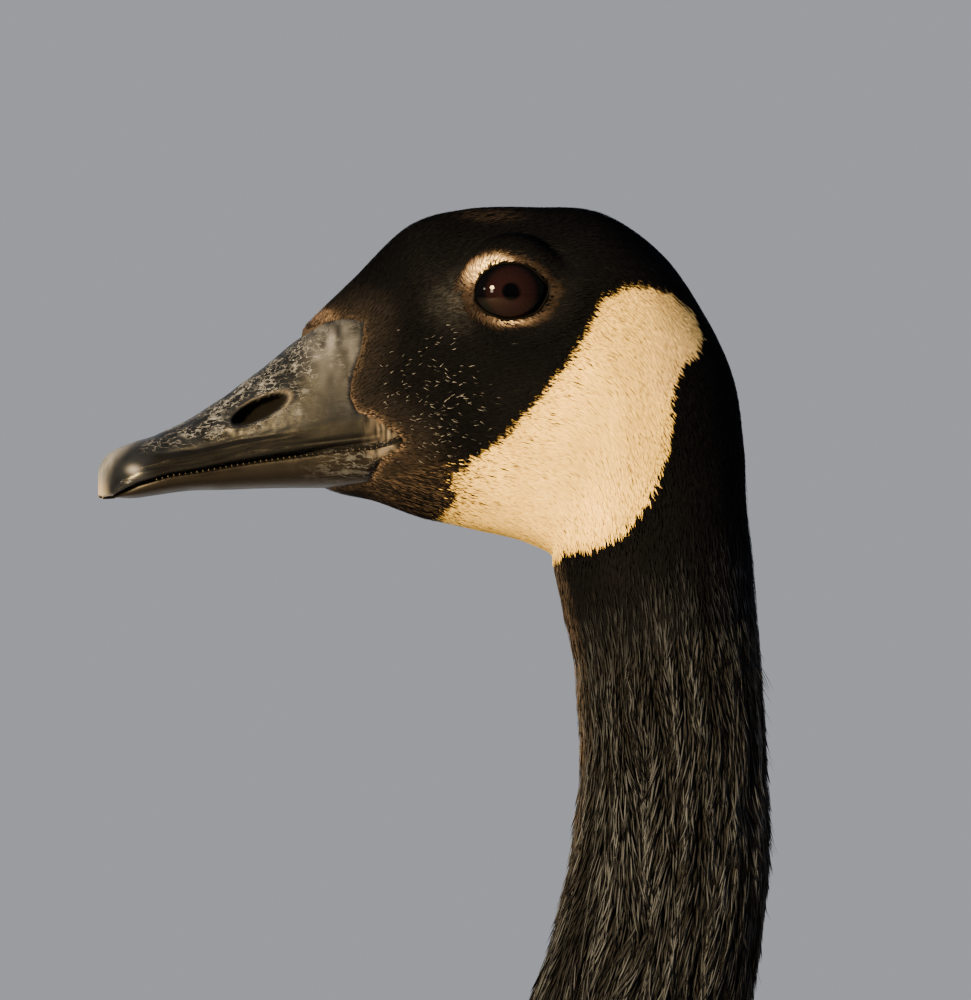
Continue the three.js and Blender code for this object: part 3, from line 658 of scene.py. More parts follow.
@dataclass
class Tufts:
    """Many small feathers, one row each: thin spindles with a ridge, in millimetres.

    Low and high are how far the root and the tip stand off the hull, curl is how far the tip bends
    sideways. With a lean, a tuft is shaded as the hull is, turned by so much across it.
    """

    root: Array
    ahead: Array
    outward: Array
    length: Array
    half: Array
    thick: Array
    low: Array
    high: Array
    curl: Array
    tint: Array
    tip_tint: Array
    bake: Array
    lean: float = 0.0

    def shape(self, profile: Table) -> Shape:
        """Build them all.

        Args:
            profile: shares of the length with their shares of the width, between root and tip.

        Returns:
            One shape with every tuft in it.
        """
        count, rings = len(self.root), len(profile)
        side = unit(np.cross(self.outward, self.ahead))

        def line(run: float) -> Array:
            """The tufts' middle lines at a share of their length.

            Args:
                run: The share, from 0 at the roots to 1 at the tips.

            Returns:
                Places in mm.
            """
            lift = self.low + (self.high - self.low) * run**0.5
            place = self.root + self.ahead * (self.length * run)[:, None] + self.outward * lift[:, None]
            return place + side * (self.curl * run**2)[:, None]

        points = [line(0.0)]
        for run, wide in profile:
            centre = line(run)
            reach = side * (self.half * wide)[:, None]
            points += [centre - reach, centre + self.outward * (self.thick * wide)[:, None], centre + reach]
        points.append(line(1.0))
        per = 3 * rings + 2
        faces = []
        for k in range(3):
            a, b = 1 + k, 1 + (k + 1) % 3
            faces.append((0, a, b))
            for r in range(0, 3 * (rings - 1), 3):
                faces += [(a + r, a + r + 3, b + r), (b + r, a + r + 3, b + r + 3)]
            faces.append((a + 3 * (rings - 1), per - 1, b + 3 * (rings - 1)))
        rows = (np.arange(count)[:, None, None] * per + np.array(faces)).reshape(-1, 3)
        v = np.concatenate([[0.0], np.repeat([run for run, _ in profile], 3), [1.0]])
        u = np.concatenate([[0.5], np.tile([0.0, 0.5, 1.0], rings), [0.5]])
        local = np.stack([u, v], axis=-1)
        sides, ends = (u - 0.5) * 2 * self.lean, (v - 0.5) * self.lean
        facing = self.outward[:, None] + side[:, None] * -sides[:, None] + self.ahead[:, None] * ends[:, None]
        marks = {
            "tint": blend(self.tint[:, None], self.tip_tint[:, None], np.broadcast_to(v, (count, per))),
            "OFBake": self.bake[:, None] + (local - 0.5) * BAKE_PATCH,
        }
        if self.lean:
            marks[NORMAL] = unit(facing).astype(np.float32)
        return Shape(np.stack(points, axis=1).reshape(-1, 3), [rows],
                     {name: mark.reshape(count * per, -1) for name, mark in marks.items()})


def unwrapped(roots: Roots, span: Pair) -> Array:
    """The places of roots on their hull's unwrap, round it and along it over a span of stations.

    Args:
        roots: Where the feathers start.
        span: The first and the last station.

    Returns:
        The two coordinates.
    """
    u = (roots.angle / (2 * np.pi)) % 1
    v = (roots.at - span[0]) / (span[1] - span[0])
    return 0.01 + 0.98 * np.stack([u, np.clip(v, 0, 1)], axis=-1)


@dataclass(frozen=True)
class VaneForm:
    """How a broad feather is divided and how its width, tip and edges run.

    With a lean, it is shaded as the hull is, turned by so much across it.
    """

    runs: tuple[float, ...] = (0, 0.35, 0.65, 0.85, 0.96, 1)
    widths: tuple[float, ...] = (0.4, 0.92, 1, 0.77, 0.42, 0.12)
    across: tuple[float, ...] = (-1, 0, 1)
    thickness: float = 0.3
    camber: float = 0.7
    bend: float = 0.7
    lean: float = 0.0

    def flat(self) -> Array:
        """Each grid point's share across and along the feather."""
        run, over = np.meshgrid(self.runs, self.across, indexing="ij")
        return np.stack([over / 2 + 0.5, run], axis=-1)


LONG_VANE = VaneForm(
    runs=(0, 0.14, 0.3, 0.46, 0.62, 0.75, 0.85, 0.92, 0.965, 0.99, 1),
    widths=(0.45, 0.8, 0.96, 1, 0.98, 0.92, 0.8, 0.64, 0.46, 0.26, 0.1),
    across=(-1, -0.85, -0.5, -0.06, 0.06, 0.5, 0.85, 1),
    thickness=0.45,
    camber=0.6,
    bend=0.6,
)


@dataclass
class Feathers:
    """Many broad feathers on a hull, one row each, from a root to a tip."""

    hull: Hull
    root: Roots
    tip: Roots
    half: Array
    low: Array
    high: Array
    roll: Array
    tint: Array
    rim: Array
    bake: Array
    patch: float = BAKE_PATCH

    def shape(self, form: VaneForm) -> Shape:
        """Build them all as thin closed plates that follow the hull.

        Args:
            form: how each is divided.

        Returns:
            One shape with every feather in it.
        """
        runs, widths, across = (np.array(values) for values in (form.runs, form.widths, form.across))
        step_at, step_angle = self.tip.at - self.root.at, self.tip.angle - self.root.angle
        at = self.root.at[:, None] + step_at[:, None] * runs
        angle = self.root.angle[:, None] + step_angle[:, None] * runs
        along, around, outward = self.hull.slopes(at, angle)
        ahead = along * step_at[:, None, None] + around * step_angle[:, None, None]
        side = unit(np.cross(outward, ahead))
        aa, ab, bb = dot(along, along), dot(along, around), dot(around, around)
        sa, sb = dot(side, along), dot(side, around)
        spread = np.maximum(aa * bb - ab * ab, 1e-6)
        over = across * widths[:, None] * self.half[:, None, None]
        at = at[..., None] + ((sa * bb - sb * ab) / spread)[..., None] * over
        angle = angle[..., None] + ((sb * aa - sa * ab) / spread)[..., None] * over
        lift = self.low[:, None] + (self.high - self.low)[:, None] * runs**form.bend
        lift = lift[..., None] + form.camber * (1 - across**2) * widths[:, None]
        lift = lift + self.roll[:, None, None] * over
        thin = form.thickness * (1 - 0.75 * np.abs(across)) * (1 - 0.4 * runs[:, None]) / 2
        faces = np.stack([self.hull.point(at, angle, lift + way * thin) for way in (1, -1)], axis=1)
        grid = np.ones((*form.flat().shape[:2], 1))
        marks = {"tint": self.tint[:, None, None] * grid, "rim": self.rim[:, None, None] * grid}
        if form.lean:
            facing = outward[:, :, None] + form.lean * across[:, None] * side[:, :, None]
            marks[NORMAL] = unit(facing).astype(np.float32)
        return plates(faces, form.flat(), self.patch, self.bake, marks)


def plates(faces: Array, flat: Array, patch: float, bake: Array, marks: dict[str, Array]) -> Shape:
    """Close pairs of grids into thin plates.

    Args:
        faces: plates by two faces by rows by columns by (x, back, up).
        flat: the share across and along of each grid point.
        patch: the breadth of each plate's place on the bake map.
        bake: the middle of that place, for each plate.
        marks: colours for each plate's grid points, by name.

    Returns:
        All plates as one shape.
    """
    count, _, rows, columns, _ = faces.shape
    grid = np.arange(rows * columns).reshape(rows, columns)
    under = rows * columns
    a, b, c, d = grid[:-1, :-1].ravel(), grid[:-1, 1:].ravel(), grid[1:, 1:].ravel(), grid[1:, :-1].ravel()
    rim = np.concatenate([grid[-1, :-1], grid[:0:-1, -1], grid[0, :0:-1], grid[:-1, 0]])
    onward = np.roll(rim, -1)
    quads = np.concatenate([
        np.stack([a, b, c, d], axis=-1),
        np.stack([a, d, c, b], axis=-1) + under,
        np.stack([rim, onward, onward + under, rim + under], axis=-1),
    ])
    both = np.tile(flat.reshape(-1, 2), (2, 1))
    made = {name: np.tile(mark.reshape(count, under, -1), (1, 2, 1)).reshape(2 * count * under, -1)
            for name, mark in marks.items()}
    made["Vane"] = np.tile(both, (count, 1))
    made["OFBake"] = (bake[:, None] + (both - 0.5) * patch).reshape(-1, 2)
    all_quads = (np.arange(count)[:, None, None] * 2 * under + quads).reshape(-1, 4)
    return Shape(faces.reshape(-1, 3), [all_quads], made)


# Markings: the same rules colour the skin and every feather on it.
@dataclass(frozen=True)
class Markings:
    """The bird's colours, by place on the body hull."""

    ragged: float = 0.75

    @staticmethod
    def flecks(place: Array, chance: Array) -> Array:
        """Which of the black cheek's feathers are pale hair-like flecks.

        Args:
            place: Places in mm.
            chance: A random number for each.

        Returns:
            The share of pale fleck.
        """
        back, up = place[:, 1], place[:, 2]
        zone = spot(back, up, (74, 696), (9, 11))
        return (chance > 1 - 0.09 * zone) & (back > 60) & (inside(CHEEK_PATCH, place[:, 1:3]) < -1)

    def face(self, place: Array, chance: Array) -> Array:
        """Colours of the head and neck.

        Args:
            place: (x, back, up) rows.
            chance: a number from 0 to 1 for each row, which makes neighbours differ.

        Returns:
            A colour for each row.
        """
        flat = place[:, 1:3]
        back, up = flat.T
        behind = behind_feather_line(flat)
        near = partial(spot, back, up)
        tint = blend(BLACK, WARM_BLACK, np.clip(0.3 + 0.3 * wander(place, 9, 1) + 0.3 * (chance - 0.5), 0, 1))
        bronze = (1 - smooth(1, 9, behind)) * (back < 90)
        tint = blend(tint, tone(40, 37, 38), bronze * (0.3 + 0.4 * chance))
        smoke = near((75.5, 719), (4.4, 5)) * (0.75 + 0.6 * wander(place, 1.7, 24))
        tint = blend(tint, SMOKE, np.clip(smoke, 0, 1) * (0.15 + 0.75 * chance))
        edge = 1 - smooth(0.2, 2.4, behind + 2 * (chance - 0.5) + 0.8 * wander(place, 2.5, 23))
        edge = edge * smooth(0.2, 0.9, chance) * (0.3 + 0.5 * (1 - smooth(694, 702, up)))
        tint = blend(tint, TAN * 2, edge)
        tint = blend(tint, TAN * 0.5, 0.5 * near((68, 683), (7, 5)) * chance)
        tint = blend(tint, TAN * 2.5, 0.75 * near((47.5, 715.8), (4.2, 1.2)) * (0.3 + chance))
        tint = blend(tint, TAN, 0.4 * near((83.5, 738.2), (6, 1.3)) * (chance > 0.45))
        fleck = self.flecks(place, chance)
        tint[fleck] = tone(122, 124, 129) * (0.15 + 0.85 * (chance[fleck] * 997 % 1))[:, None]
        # Painted light: a pale band down the front edge of the neck, where the low warm key catches it.
        throat = (1 - smooth(4.5, 10, np.abs(place[:, 0]))) * (back < 112) * smooth(575, 635, up) * (up < 664)
        tint = blend(tint, TAN * (0.8, 0.9, 1.1), throat * smooth(0.1, 0.9, chance))
        chin = smooth(-1.5, 1, inside([(58, 680), (74, 684.5), (79, 680), (78, 660), (56, 670)], flat))
        tint = blend(tint, TAN, 0.7 * chin * smooth(0.5, 0.95, chance))
        patch = inside(CHEEK_PATCH, flat) + 0.55 * self.ragged * wander(place, 3.2, 5)
        cloud = 0.16 * wander(place, 11, 8) + 0.13 * wander(place * (1, 1, 0.4), 4, 14)
        shade = CREAM * (0.9 + cloud - 0.1 * smooth(690, 718, up))[:, None] * (0.83 + 0.24 * chance[:, None])
        pale = patch > (chance - 0.5) * 1.3 * self.ragged
        low = np.exp(-np.abs(patch) / 2.2) * (1 - smooth(682, 690, up)) * (1 - smooth(82, 90, back))
        shade[:, 2] *= 1 + 0.5 * smooth(112, 127, back) * smooth(695, 704, up)
        pick = chance * 613 % 1
        shade *= np.where((pick > 0.5) & (pick < 0.53 + 0.05 * (patch < 9)) & (back < 118), 0.45, 1)[:, None]
        front = (patch > 0) & (patch < 6) & (back < 106) & (pick > 0.965 - 0.35 * low)
        tint = np.where(((pale | (pick < 0.3 * low - 0.03)) & ~front)[:, None], shade, tint)
        return self.eye_ring(tint, flat, chance)

    def eye_ring(self, tint: Array, flat: Array, chance: Array) -> Array:
        """The same colours with the pale ring of small feathers round the eye.

        The table has, by the angle from straight back over the top, where the ring starts beyond the
        lids' edge, its width and its strength. Colours run evenly from black over brown to cream.

        Args:
            tint: The colours so far.
            flat: Places seen from the side.
            chance: A random number for each.

        Returns:
            The colours.
        """
        table = np.array([
            (-180, 0, 4.6, 0.32), (-160, 0.1, 4, 0.16), (-140, 0, 2.6, 0.32), (-120, -0.1, 2.7, 0.54),
            (-100, -0.2, 2.3, 0.84), (-80, -0.2, 2, 0.8), (-60, -0.1, 2.5, 0.52), (-40, 0, 2.9, 0.34),
            (-20, 0.6, 2, 0.16), (0, 0.6, 2.4, 0.2), (20, 0.4, 1.8, 0.15), (40, 0.2, 2.1, 0.18),
            (60, 0, 1.7, 0.24), (80, -0.1, 1.9, 0.42), (100, -0.2, 2.4, 0.8), (120, -0.2, 3.6, 1),
            (140, -0.1, 4.5, 1), (160, -0.1, 5.2, 0.8),
        ])
        beyond, turn = EYE.around(flat)
        turn = np.degrees(turn)
        start, width, strength = (np.interp(turn, *table[:, (0, k)].T, period=360) for k in (1, 2, 3))
        beyond = beyond + 0.6 * (chance - 0.5)
        ring = 1 - smooth(start + 0.35 * width, start + width, beyond)
        ring *= smooth(start - 0.3, start + 0.6, beyond)
        ring *= strength * (0.75 + 0.5 * chance) * (flat[:, 1] > 700) * (flat[:, 0] < 120)
        dark = (1 - smooth(start - 0.3, start + 0.2, beyond)) * (flat[:, 1] > 700)
        tint = blend(tint, BLACK * 0.7, dark)
        hue = blend(np.array((0.92, 0.66, 0.6)), np.array((1.0, 0.76, 0.4)), ring**1.5)
        return blend(tint, hue * np.exp(4.8 * (np.minimum(ring, 1) - 1))[:, None], smooth(0.01, 0.1, ring))

    def trunk(self, at: Array, angle: Array, place: Array, chance: Array) -> tuple[Array, Array]:
        """Colours of the breast, back, belly and rump, and of their feathers' fringes.

        Args:
            at: The station along the sections.
            angle: The angle from the back, in radians.
            place: Places in mm.
            chance: A random number for each.

        Returns:
            The colours of the core and the rim.
        """
        outside, fold, _ = BodyCoat.beside_wing(at, angle)
        over_wing = (1 - smooth(-0.02, 0.12, outside)) * smooth(20.9, 21.5, at)
        under = smooth(math.radians(58), math.radians(96), fold) * (1 - over_wing)
        tint = blend(BROWN, BREAST, under * (1 - 0.6 * smooth(22.5, 26.5, at)))
        flank = under * smooth(23.5, 26, at) * (1 - smooth(math.radians(135), math.radians(165), fold))
        tint = blend(tint, BROWN * 1.25, flank * 0.55)
        rim = blend(BUFF * 0.7, tone(166, 153, 135), under)
        belly = smooth(26.3, 28.3, at) * smooth(math.radians(105), math.radians(140), fold)
        rump = smooth(30.1, 30.7, at) * (1 - under)
        coverts = smooth(31.5, 31.9, at) * (1 - under)
        vent = smooth(29.8, 31, at) * under
        for amount, shade in ((belly, WHITE), (rump, QUILL_BLACK), (coverts, WHITE), (vent, WHITE)):
            tint, rim = blend(tint, shade, amount), blend(rim, shade, amount)
        broad = 1 + 0.08 * wander(place, 45, 2)[:, None]
        return tint * broad * (0.88 + 0.24 * chance[:, None]), rim * (0.92 + 0.16 * chance[:, None])

    def skin(self, at: Array, angle: Array, place: Array) -> Array:
        """Colours of the skin: those of the plumage over it.

        Args:
            at: The station along the sections.
            angle: The angle from the back, in radians.
            place: Places in mm.

        Returns:
            The colours.
        """
        chance = np.full(len(at), 0.5)
        face, trunk = self.face(place, chance), self.trunk(at, angle, place, chance)[0]
        return blend(face, trunk, smooth(19.7, 19.9, at)) * 0.85


MARKINGS = Markings()


# Finishes.
class Nodes:
    """A small helper that fills a node tree."""

    def __init__(self, tree: Tree) -> None:
        """Start with an empty tree."""
        self.tree = tree
        tree.nodes.clear()

    def add(self, kind: str, settings: dict | None = None, **inputs: object) -> bpy.types.Node:
        """Add a node.

        Args:
            kind: the node's type name.
            settings: its own properties.
            **inputs: values or output sockets for its inputs, by name with _ for a space, or by i and number.

        Returns:
            The node.
        """
        node = self.tree.nodes.new(kind)
        for name, value in (settings or {}).items():
            setattr(node, name, value)
        for name, value in inputs.items():
            socket = node.inputs[int(name[1:]) if name[1:].isdigit() else name.replace("_", " ")]
            if isinstance(value, Socket):
                self.tree.links.new(value, socket)
            else:
                socket.default_value = value
        return node

    def maths(self, operation: str, first: object, second: object = 0.0) -> Socket:
        """The result of a Math node on two values or sockets."""
        return self.add("ShaderNodeMath", {"operation": operation}, i0=first, i1=second).outputs[0]

    def plus(self, first: object, second: object) -> Socket:
        """The sum of two values or sockets."""
        return self.maths("ADD", first, second)

    def minus(self, first: object, second: object) -> Socket:
        """The difference of two values or sockets."""
        return self.maths("SUBTRACT", first, second)

    def times(self, first: object, second: object) -> Socket:
        """The product of two values or sockets."""
        return self.maths("MULTIPLY", first, second)

    def step(self, value: object, low: object, high: object) -> Socket:
        """An eased step from 0 at low to 1 at high."""
        made = self.add("ShaderNodeMapRange", {"interpolation_type": "SMOOTHSTEP"}, i0=value, i1=low, i2=high)
        return made.outputs[0]

    def mixed(self, share: object, first: object, second: object) -> Socket:
        """A mixture of two colours."""
        return self.add("ShaderNodeMix", {"data_type": "RGBA"}, i0=share, i6=first, i7=second).outputs[2]

    def scaled(self, colour: object, factor: object) -> Socket:
        """A colour or a vector times a factor."""
        made = self.add("ShaderNodeVectorMath", {"operation": "SCALE"}, i0=colour, i3=factor)
        return made.outputs[0]

    def noise(self, vector: object, scale: object, detail: float = 3.0) -> Socket:
        """Smooth noise from 0 to 1."""
        return self.add("ShaderNodeTexNoise", Vector=vector, Scale=scale, Detail=detail).outputs[0]

    def attribute(self, name: str) -> bpy.types.Node:
        """A mark of the mesh."""
        return self.add("ShaderNodeAttribute", {"attribute_name": name})


def shader_group(name: str, inputs: dict[str, object], outputs: dict[str, str]) -> tuple[Tree, Nodes]:
    """An empty shader node group with its sockets.

    Args:
        name: the group's name.
        inputs: input names with their default values; a tuple stands for a colour.
        outputs: output names with Color or Float.

    Returns:
        The group and a helper that fills it.
    """
    group = bpy.data.node_groups.new(name, "ShaderNodeTree")
    nodes = Nodes(group)
    for title, default in inputs.items():
        kind = "NodeSocketColor" if isinstance(default, tuple) else "NodeSocketFloat"
        group.interface.new_socket(title, in_out="INPUT", socket_type=kind).default_value = default
    for title, kind in outputs.items():
        group.interface.new_socket(title, in_out="OUTPUT", socket_type=f"NodeSocket{kind}")
    return group, nodes


@cache
def vane_group() -> Tree:
    """A feather's vane: its darker end, pale fringe, shaft and slanting barbs.

    Returns:
        The node group.
    """
    inputs = {"Core": (1, 1, 1, 1), "Rim": (1, 1, 1, 1), "Fringe": 0.1, "Soft": 0.05, "Barbs": 60.0,
              "Slant": 14.0, "Shade": 0.2}
    group, n = shader_group("FeatherVane", inputs, {"Colour": "Color", "Height": "Float"})
    given = n.add("NodeGroupInput").outputs
    laid = n.add("ShaderNodeUVMap", {"uv_map": "Vane"}).outputs[0]
    flat = n.add("ShaderNodeSeparateXYZ", Vector=laid).outputs
    over = n.times(n.maths("ABSOLUTE", n.minus(flat[0], 0.5)), 2.0)
    place = n.add("ShaderNodeTexCoord").outputs["Object"]
    torn = n.minus(n.noise(place, 700.0), 0.5)
    phase = n.minus(n.times(flat[1], given["Barbs"]), n.times(over, given["Slant"]))
    wave = n.maths("SINE", n.times(n.plus(phase, n.times(torn, 2.5)), 2 * math.pi))
    worn = n.plus(n.times(wave, 0.012), n.times(torn, 0.12))
    side = n.plus(n.times(over, n.plus(n.times(flat[1], 0.2), 0.8)), worn)
    begin = n.minus(1.0, given["Fringe"])
    end = n.plus(flat[1], worn)
    fringe = n.maths("MAXIMUM", n.step(side, 0.93, 0.99), n.step(end, begin, n.plus(begin, given["Soft"])))
    dark = n.times(n.step(flat[1], 0.35, 0.9), given["Shade"])
    shaft = n.times(n.minus(1.0, n.step(over, 0.02, 0.06)), 0.3)
    factor = n.minus(n.plus(1.0, n.times(wave, 0.07)), n.plus(dark, shaft))
    factor = n.plus(factor, n.times(torn, 0.35))
    colour = n.mixed(fringe, n.scaled(given["Core"], factor), given["Rim"])
    height = n.plus(n.times(wave, 0.5), n.plus(torn, shaft))
    n.add("NodeGroupOutput", Colour=colour, Height=height)
    return group


@cache
def mottle_group() -> Tree:
    """Uneven colour and pits over a surface.

    Returns:
        The node group.
    """
    inputs = {"Tint": (1, 1, 1, 1), "Scale": 300.0, "Strength": 0.2}
    group, n = shader_group("SurfaceMottle", inputs, {"Colour": "Color", "Height": "Float"})
    given = n.add("NodeGroupInput").outputs
    spots = n.noise(n.add("ShaderNodeTexCoord").outputs["Object"], given["Scale"], 4.0)
    swing = n.times(n.minus(spots, 0.5), n.times(given["Strength"], 2.0))
    n.add("NodeGroupOutput", Colour=n.scaled(given["Tint"], n.plus(1.0, swing)), Height=spots)
    return group


@cache
def flake_group() -> Tree:
    """Scratches and flakes of horn that run up the bill.

    Returns:
        The node group.
    """
    inputs = {"Horn": (1, 1, 1, 1), "Flake": (1, 1, 1, 1), "Worn": 0.5}
    group, n = shader_group("HornFlakes", inputs, {"Colour": "Color", "Height": "Float", "Mask": "Float"})
    given = n.add("NodeGroupInput").outputs
    place = n.add("ShaderNodeTexCoord").outputs["Object"]
    slope = (math.radians(-33), 0, 0)
    turned = n.add("ShaderNodeMapping", Vector=place, Rotation=slope, Scale=(1, 0.3, 1)).outputs[0]
    warp = n.add("ShaderNodeTexNoise", Vector=place, Scale=170.0, Detail=4.0).outputs["Color"]
    reach = (0.003, 0.0022, 0.0022)
    bent = n.add("ShaderNodeVectorMath", {"operation": "MULTIPLY_ADD"}, i0=warp, i1=reach, i2=turned)
    bent = bent.outputs[0]
    fine = n.noise(bent, 1000.0, 6.0)
    thin = n.plus(8.0, n.times(n.noise(place, 420.0, 2.0), 40.0))
    line = n.minus(1.0, n.times(n.maths("ABSOLUTE", n.minus(fine, 0.5)), thin))
    chips = n.step(n.noise(bent, 480.0, 8.0), 0.56, 0.66)
    patch = n.step(n.noise(place, 260.0, 3.0), 0.36, 0.6)
    mask = n.maths("MAXIMUM", n.step(line, 0.0, 0.9), n.times(chips, 0.8))
    mask = n.times(mask, n.plus(0.35, n.noise(place, 900.0, 2.0)))
    mask = n.times(n.times(mask, patch), given["Worn"])
    height = n.plus(mask, n.times(fine, 0.5))
    n.add("NodeGroupOutput", Colour=n.mixed(mask, given["Horn"], given["Flake"]), Height=height, Mask=mask)
    return group


@dataclass(frozen=True)
class Finish:
    """A finish that takes its colour from a piece's tint, with a fine relief in millimetres."""

    name: str
    roughness: float = 0.6
    specular: float = 0.4
    coat: float = 0.0
    mottle: float = 0.15
    scale: float = 400.0
    relief: float = 0.1

    @property
    def material(self) -> bpy.types.Material:
        """The material, built once.

        Returns:
            The material.
        """
        if self.name not in bpy.data.materials:
            made = bpy.data.materials.new(self.name)
            made.use_nodes = True
            n = Nodes(made.node_tree)
            shader = n.add("ShaderNodeBsdfPrincipled", Roughness=self.roughness, Coat_Weight=self.coat,
                           Specular_IOR_Level=self.specular, Coat_Roughness=0.05)
            n.add("ShaderNodeOutputMaterial", Surface=shader.outputs[0])
            self.dress(n, shader)
        return bpy.data.materials[self.name]

    def dress(self, n: Nodes, shader: bpy.types.Node) -> None:
        """Join the colour and the relief to the shader.

        Args:
            n: The material's nodes.
            shader: Its main shader.
        """
        tint = n.attribute("tint").outputs["Color"]
        group = n.add("ShaderNodeGroup", {"node_tree": mottle_group()}, Tint=tint, Scale=self.scale,
                      Strength=self.mottle)
        self.join(n, shader, group.outputs)

    def join(self, n: Nodes, shader: bpy.types.Node, marks: bpy.types.NodeOutputs) -> None:
        """Feed a group's Colour and Height to the shader.

        Args:
            n: The material's nodes.
            shader: Its main shader.
            marks: The group's colour and height.
        """
        n.tree.links.new(marks["Colour"], shader.inputs["Base Color"])
        if self.relief:
            bump = n.add("ShaderNodeBump", Height=marks["Height"], Distance=self.relief * MM).outputs[0]
            n.tree.links.new(bump, shader.inputs["Normal"])


@dataclass(frozen=True)
class VaneFinish(Finish):
    """A finish for broad feathers, with a fringe and barbs."""

    fringe: float = 0.1
    soft: float = 0.05
    barbs: float = 60
    slant: float = 14
    shade: float = 0.2

    def dress(self, n: Nodes, shader: bpy.types.Node) -> None:
        """Join the vane's colour and barbs to the shader.

        Args:
            n: The material's nodes.
            shader: Its main shader.
        """
        marks = {"Core": "tint", "Rim": "rim"}
        colours = {name: n.attribute(mark).outputs["Color"] for name, mark in marks.items()}
        sizes = {"Fringe": self.fringe, "Soft": self.soft, "Barbs": self.barbs, "Slant": self.slant,
                 "Shade": self.shade}
        group = n.add("ShaderNodeGroup", {"node_tree": vane_group()}, **colours, **sizes)
        self.join(n, shader, group.outputs)


@dataclass(frozen=True)
class HornFinish(Finish):
    """A finish for the bill, rough and pale where its worn mask is high."""

    flake: Triple = (126, 131, 142)

    def dress(self, n: Nodes, shader: bpy.types.Node) -> None:
        """Join the flaking horn's colour, roughness and relief to the shader.

        Args:
            n: The material's nodes.
            shader: Its main shader.
        """
        horn, worn = n.attribute("tint").outputs["Color"], n.attribute("worn").outputs["Fac"]
        group = n.add("ShaderNodeGroup", {"node_tree": flake_group()}, Horn=horn, Worn=worn,
                      Flake=(*tone(*self.flake), 1))
        least = n.attribute("rough").outputs["Fac"]
        rough = n.add("ShaderNodeMapRange", Value=group.outputs["Mask"], To_Min=least, To_Max=0.75)
        n.tree.links.new(rough.outputs[0], shader.inputs["Roughness"])
        self.join(n, shader, group.outputs)


TUFT_FINISH = Finish("FinePlumage", roughness=0.8, specular=0.02, mottle=0.08, relief=0)
LOCK_FINISH = Finish("NeckPlumage", roughness=0.6, specular=0.08, mottle=0.2, scale=900, relief=0.03)
VANE_FINISH = VaneFinish(
    "BodyPlumage", roughness=0.8, specular=0.08, relief=0.08, fringe=0.22, soft=0.2, barbs=24, slant=7,
    shade=0.1,
)
QUILL_FINISH = VaneFinish(
    "FlightFeather", roughness=0.75, specular=0.1, relief=0.12, fringe=0.085, barbs=90, slant=24, shade=0.26
)
SKIN_FINISH = Finish("SkinUnderPlumage", roughness=0.9, specular=0.1, relief=0.2)
HORN_FINISH = HornFinish("BillHorn", specular=0.11, relief=0.12)
EYE_FINISH = Finish("EyeSurface", roughness=0.03, specular=0.07, mottle=0.12, relief=0)
LID_FINISH = Finish("LidSkin", roughness=0.7, specular=0.03, relief=0.08, scale=1500)
LEG_FINISH = Finish("LegSkin", roughness=0.48, specular=0.22, mottle=0.35, scale=260, relief=0.25)
CLAW_FINISH = Finish("ClawHorn", roughness=0.4, specular=0.25, mottle=0.2, relief=0.05)


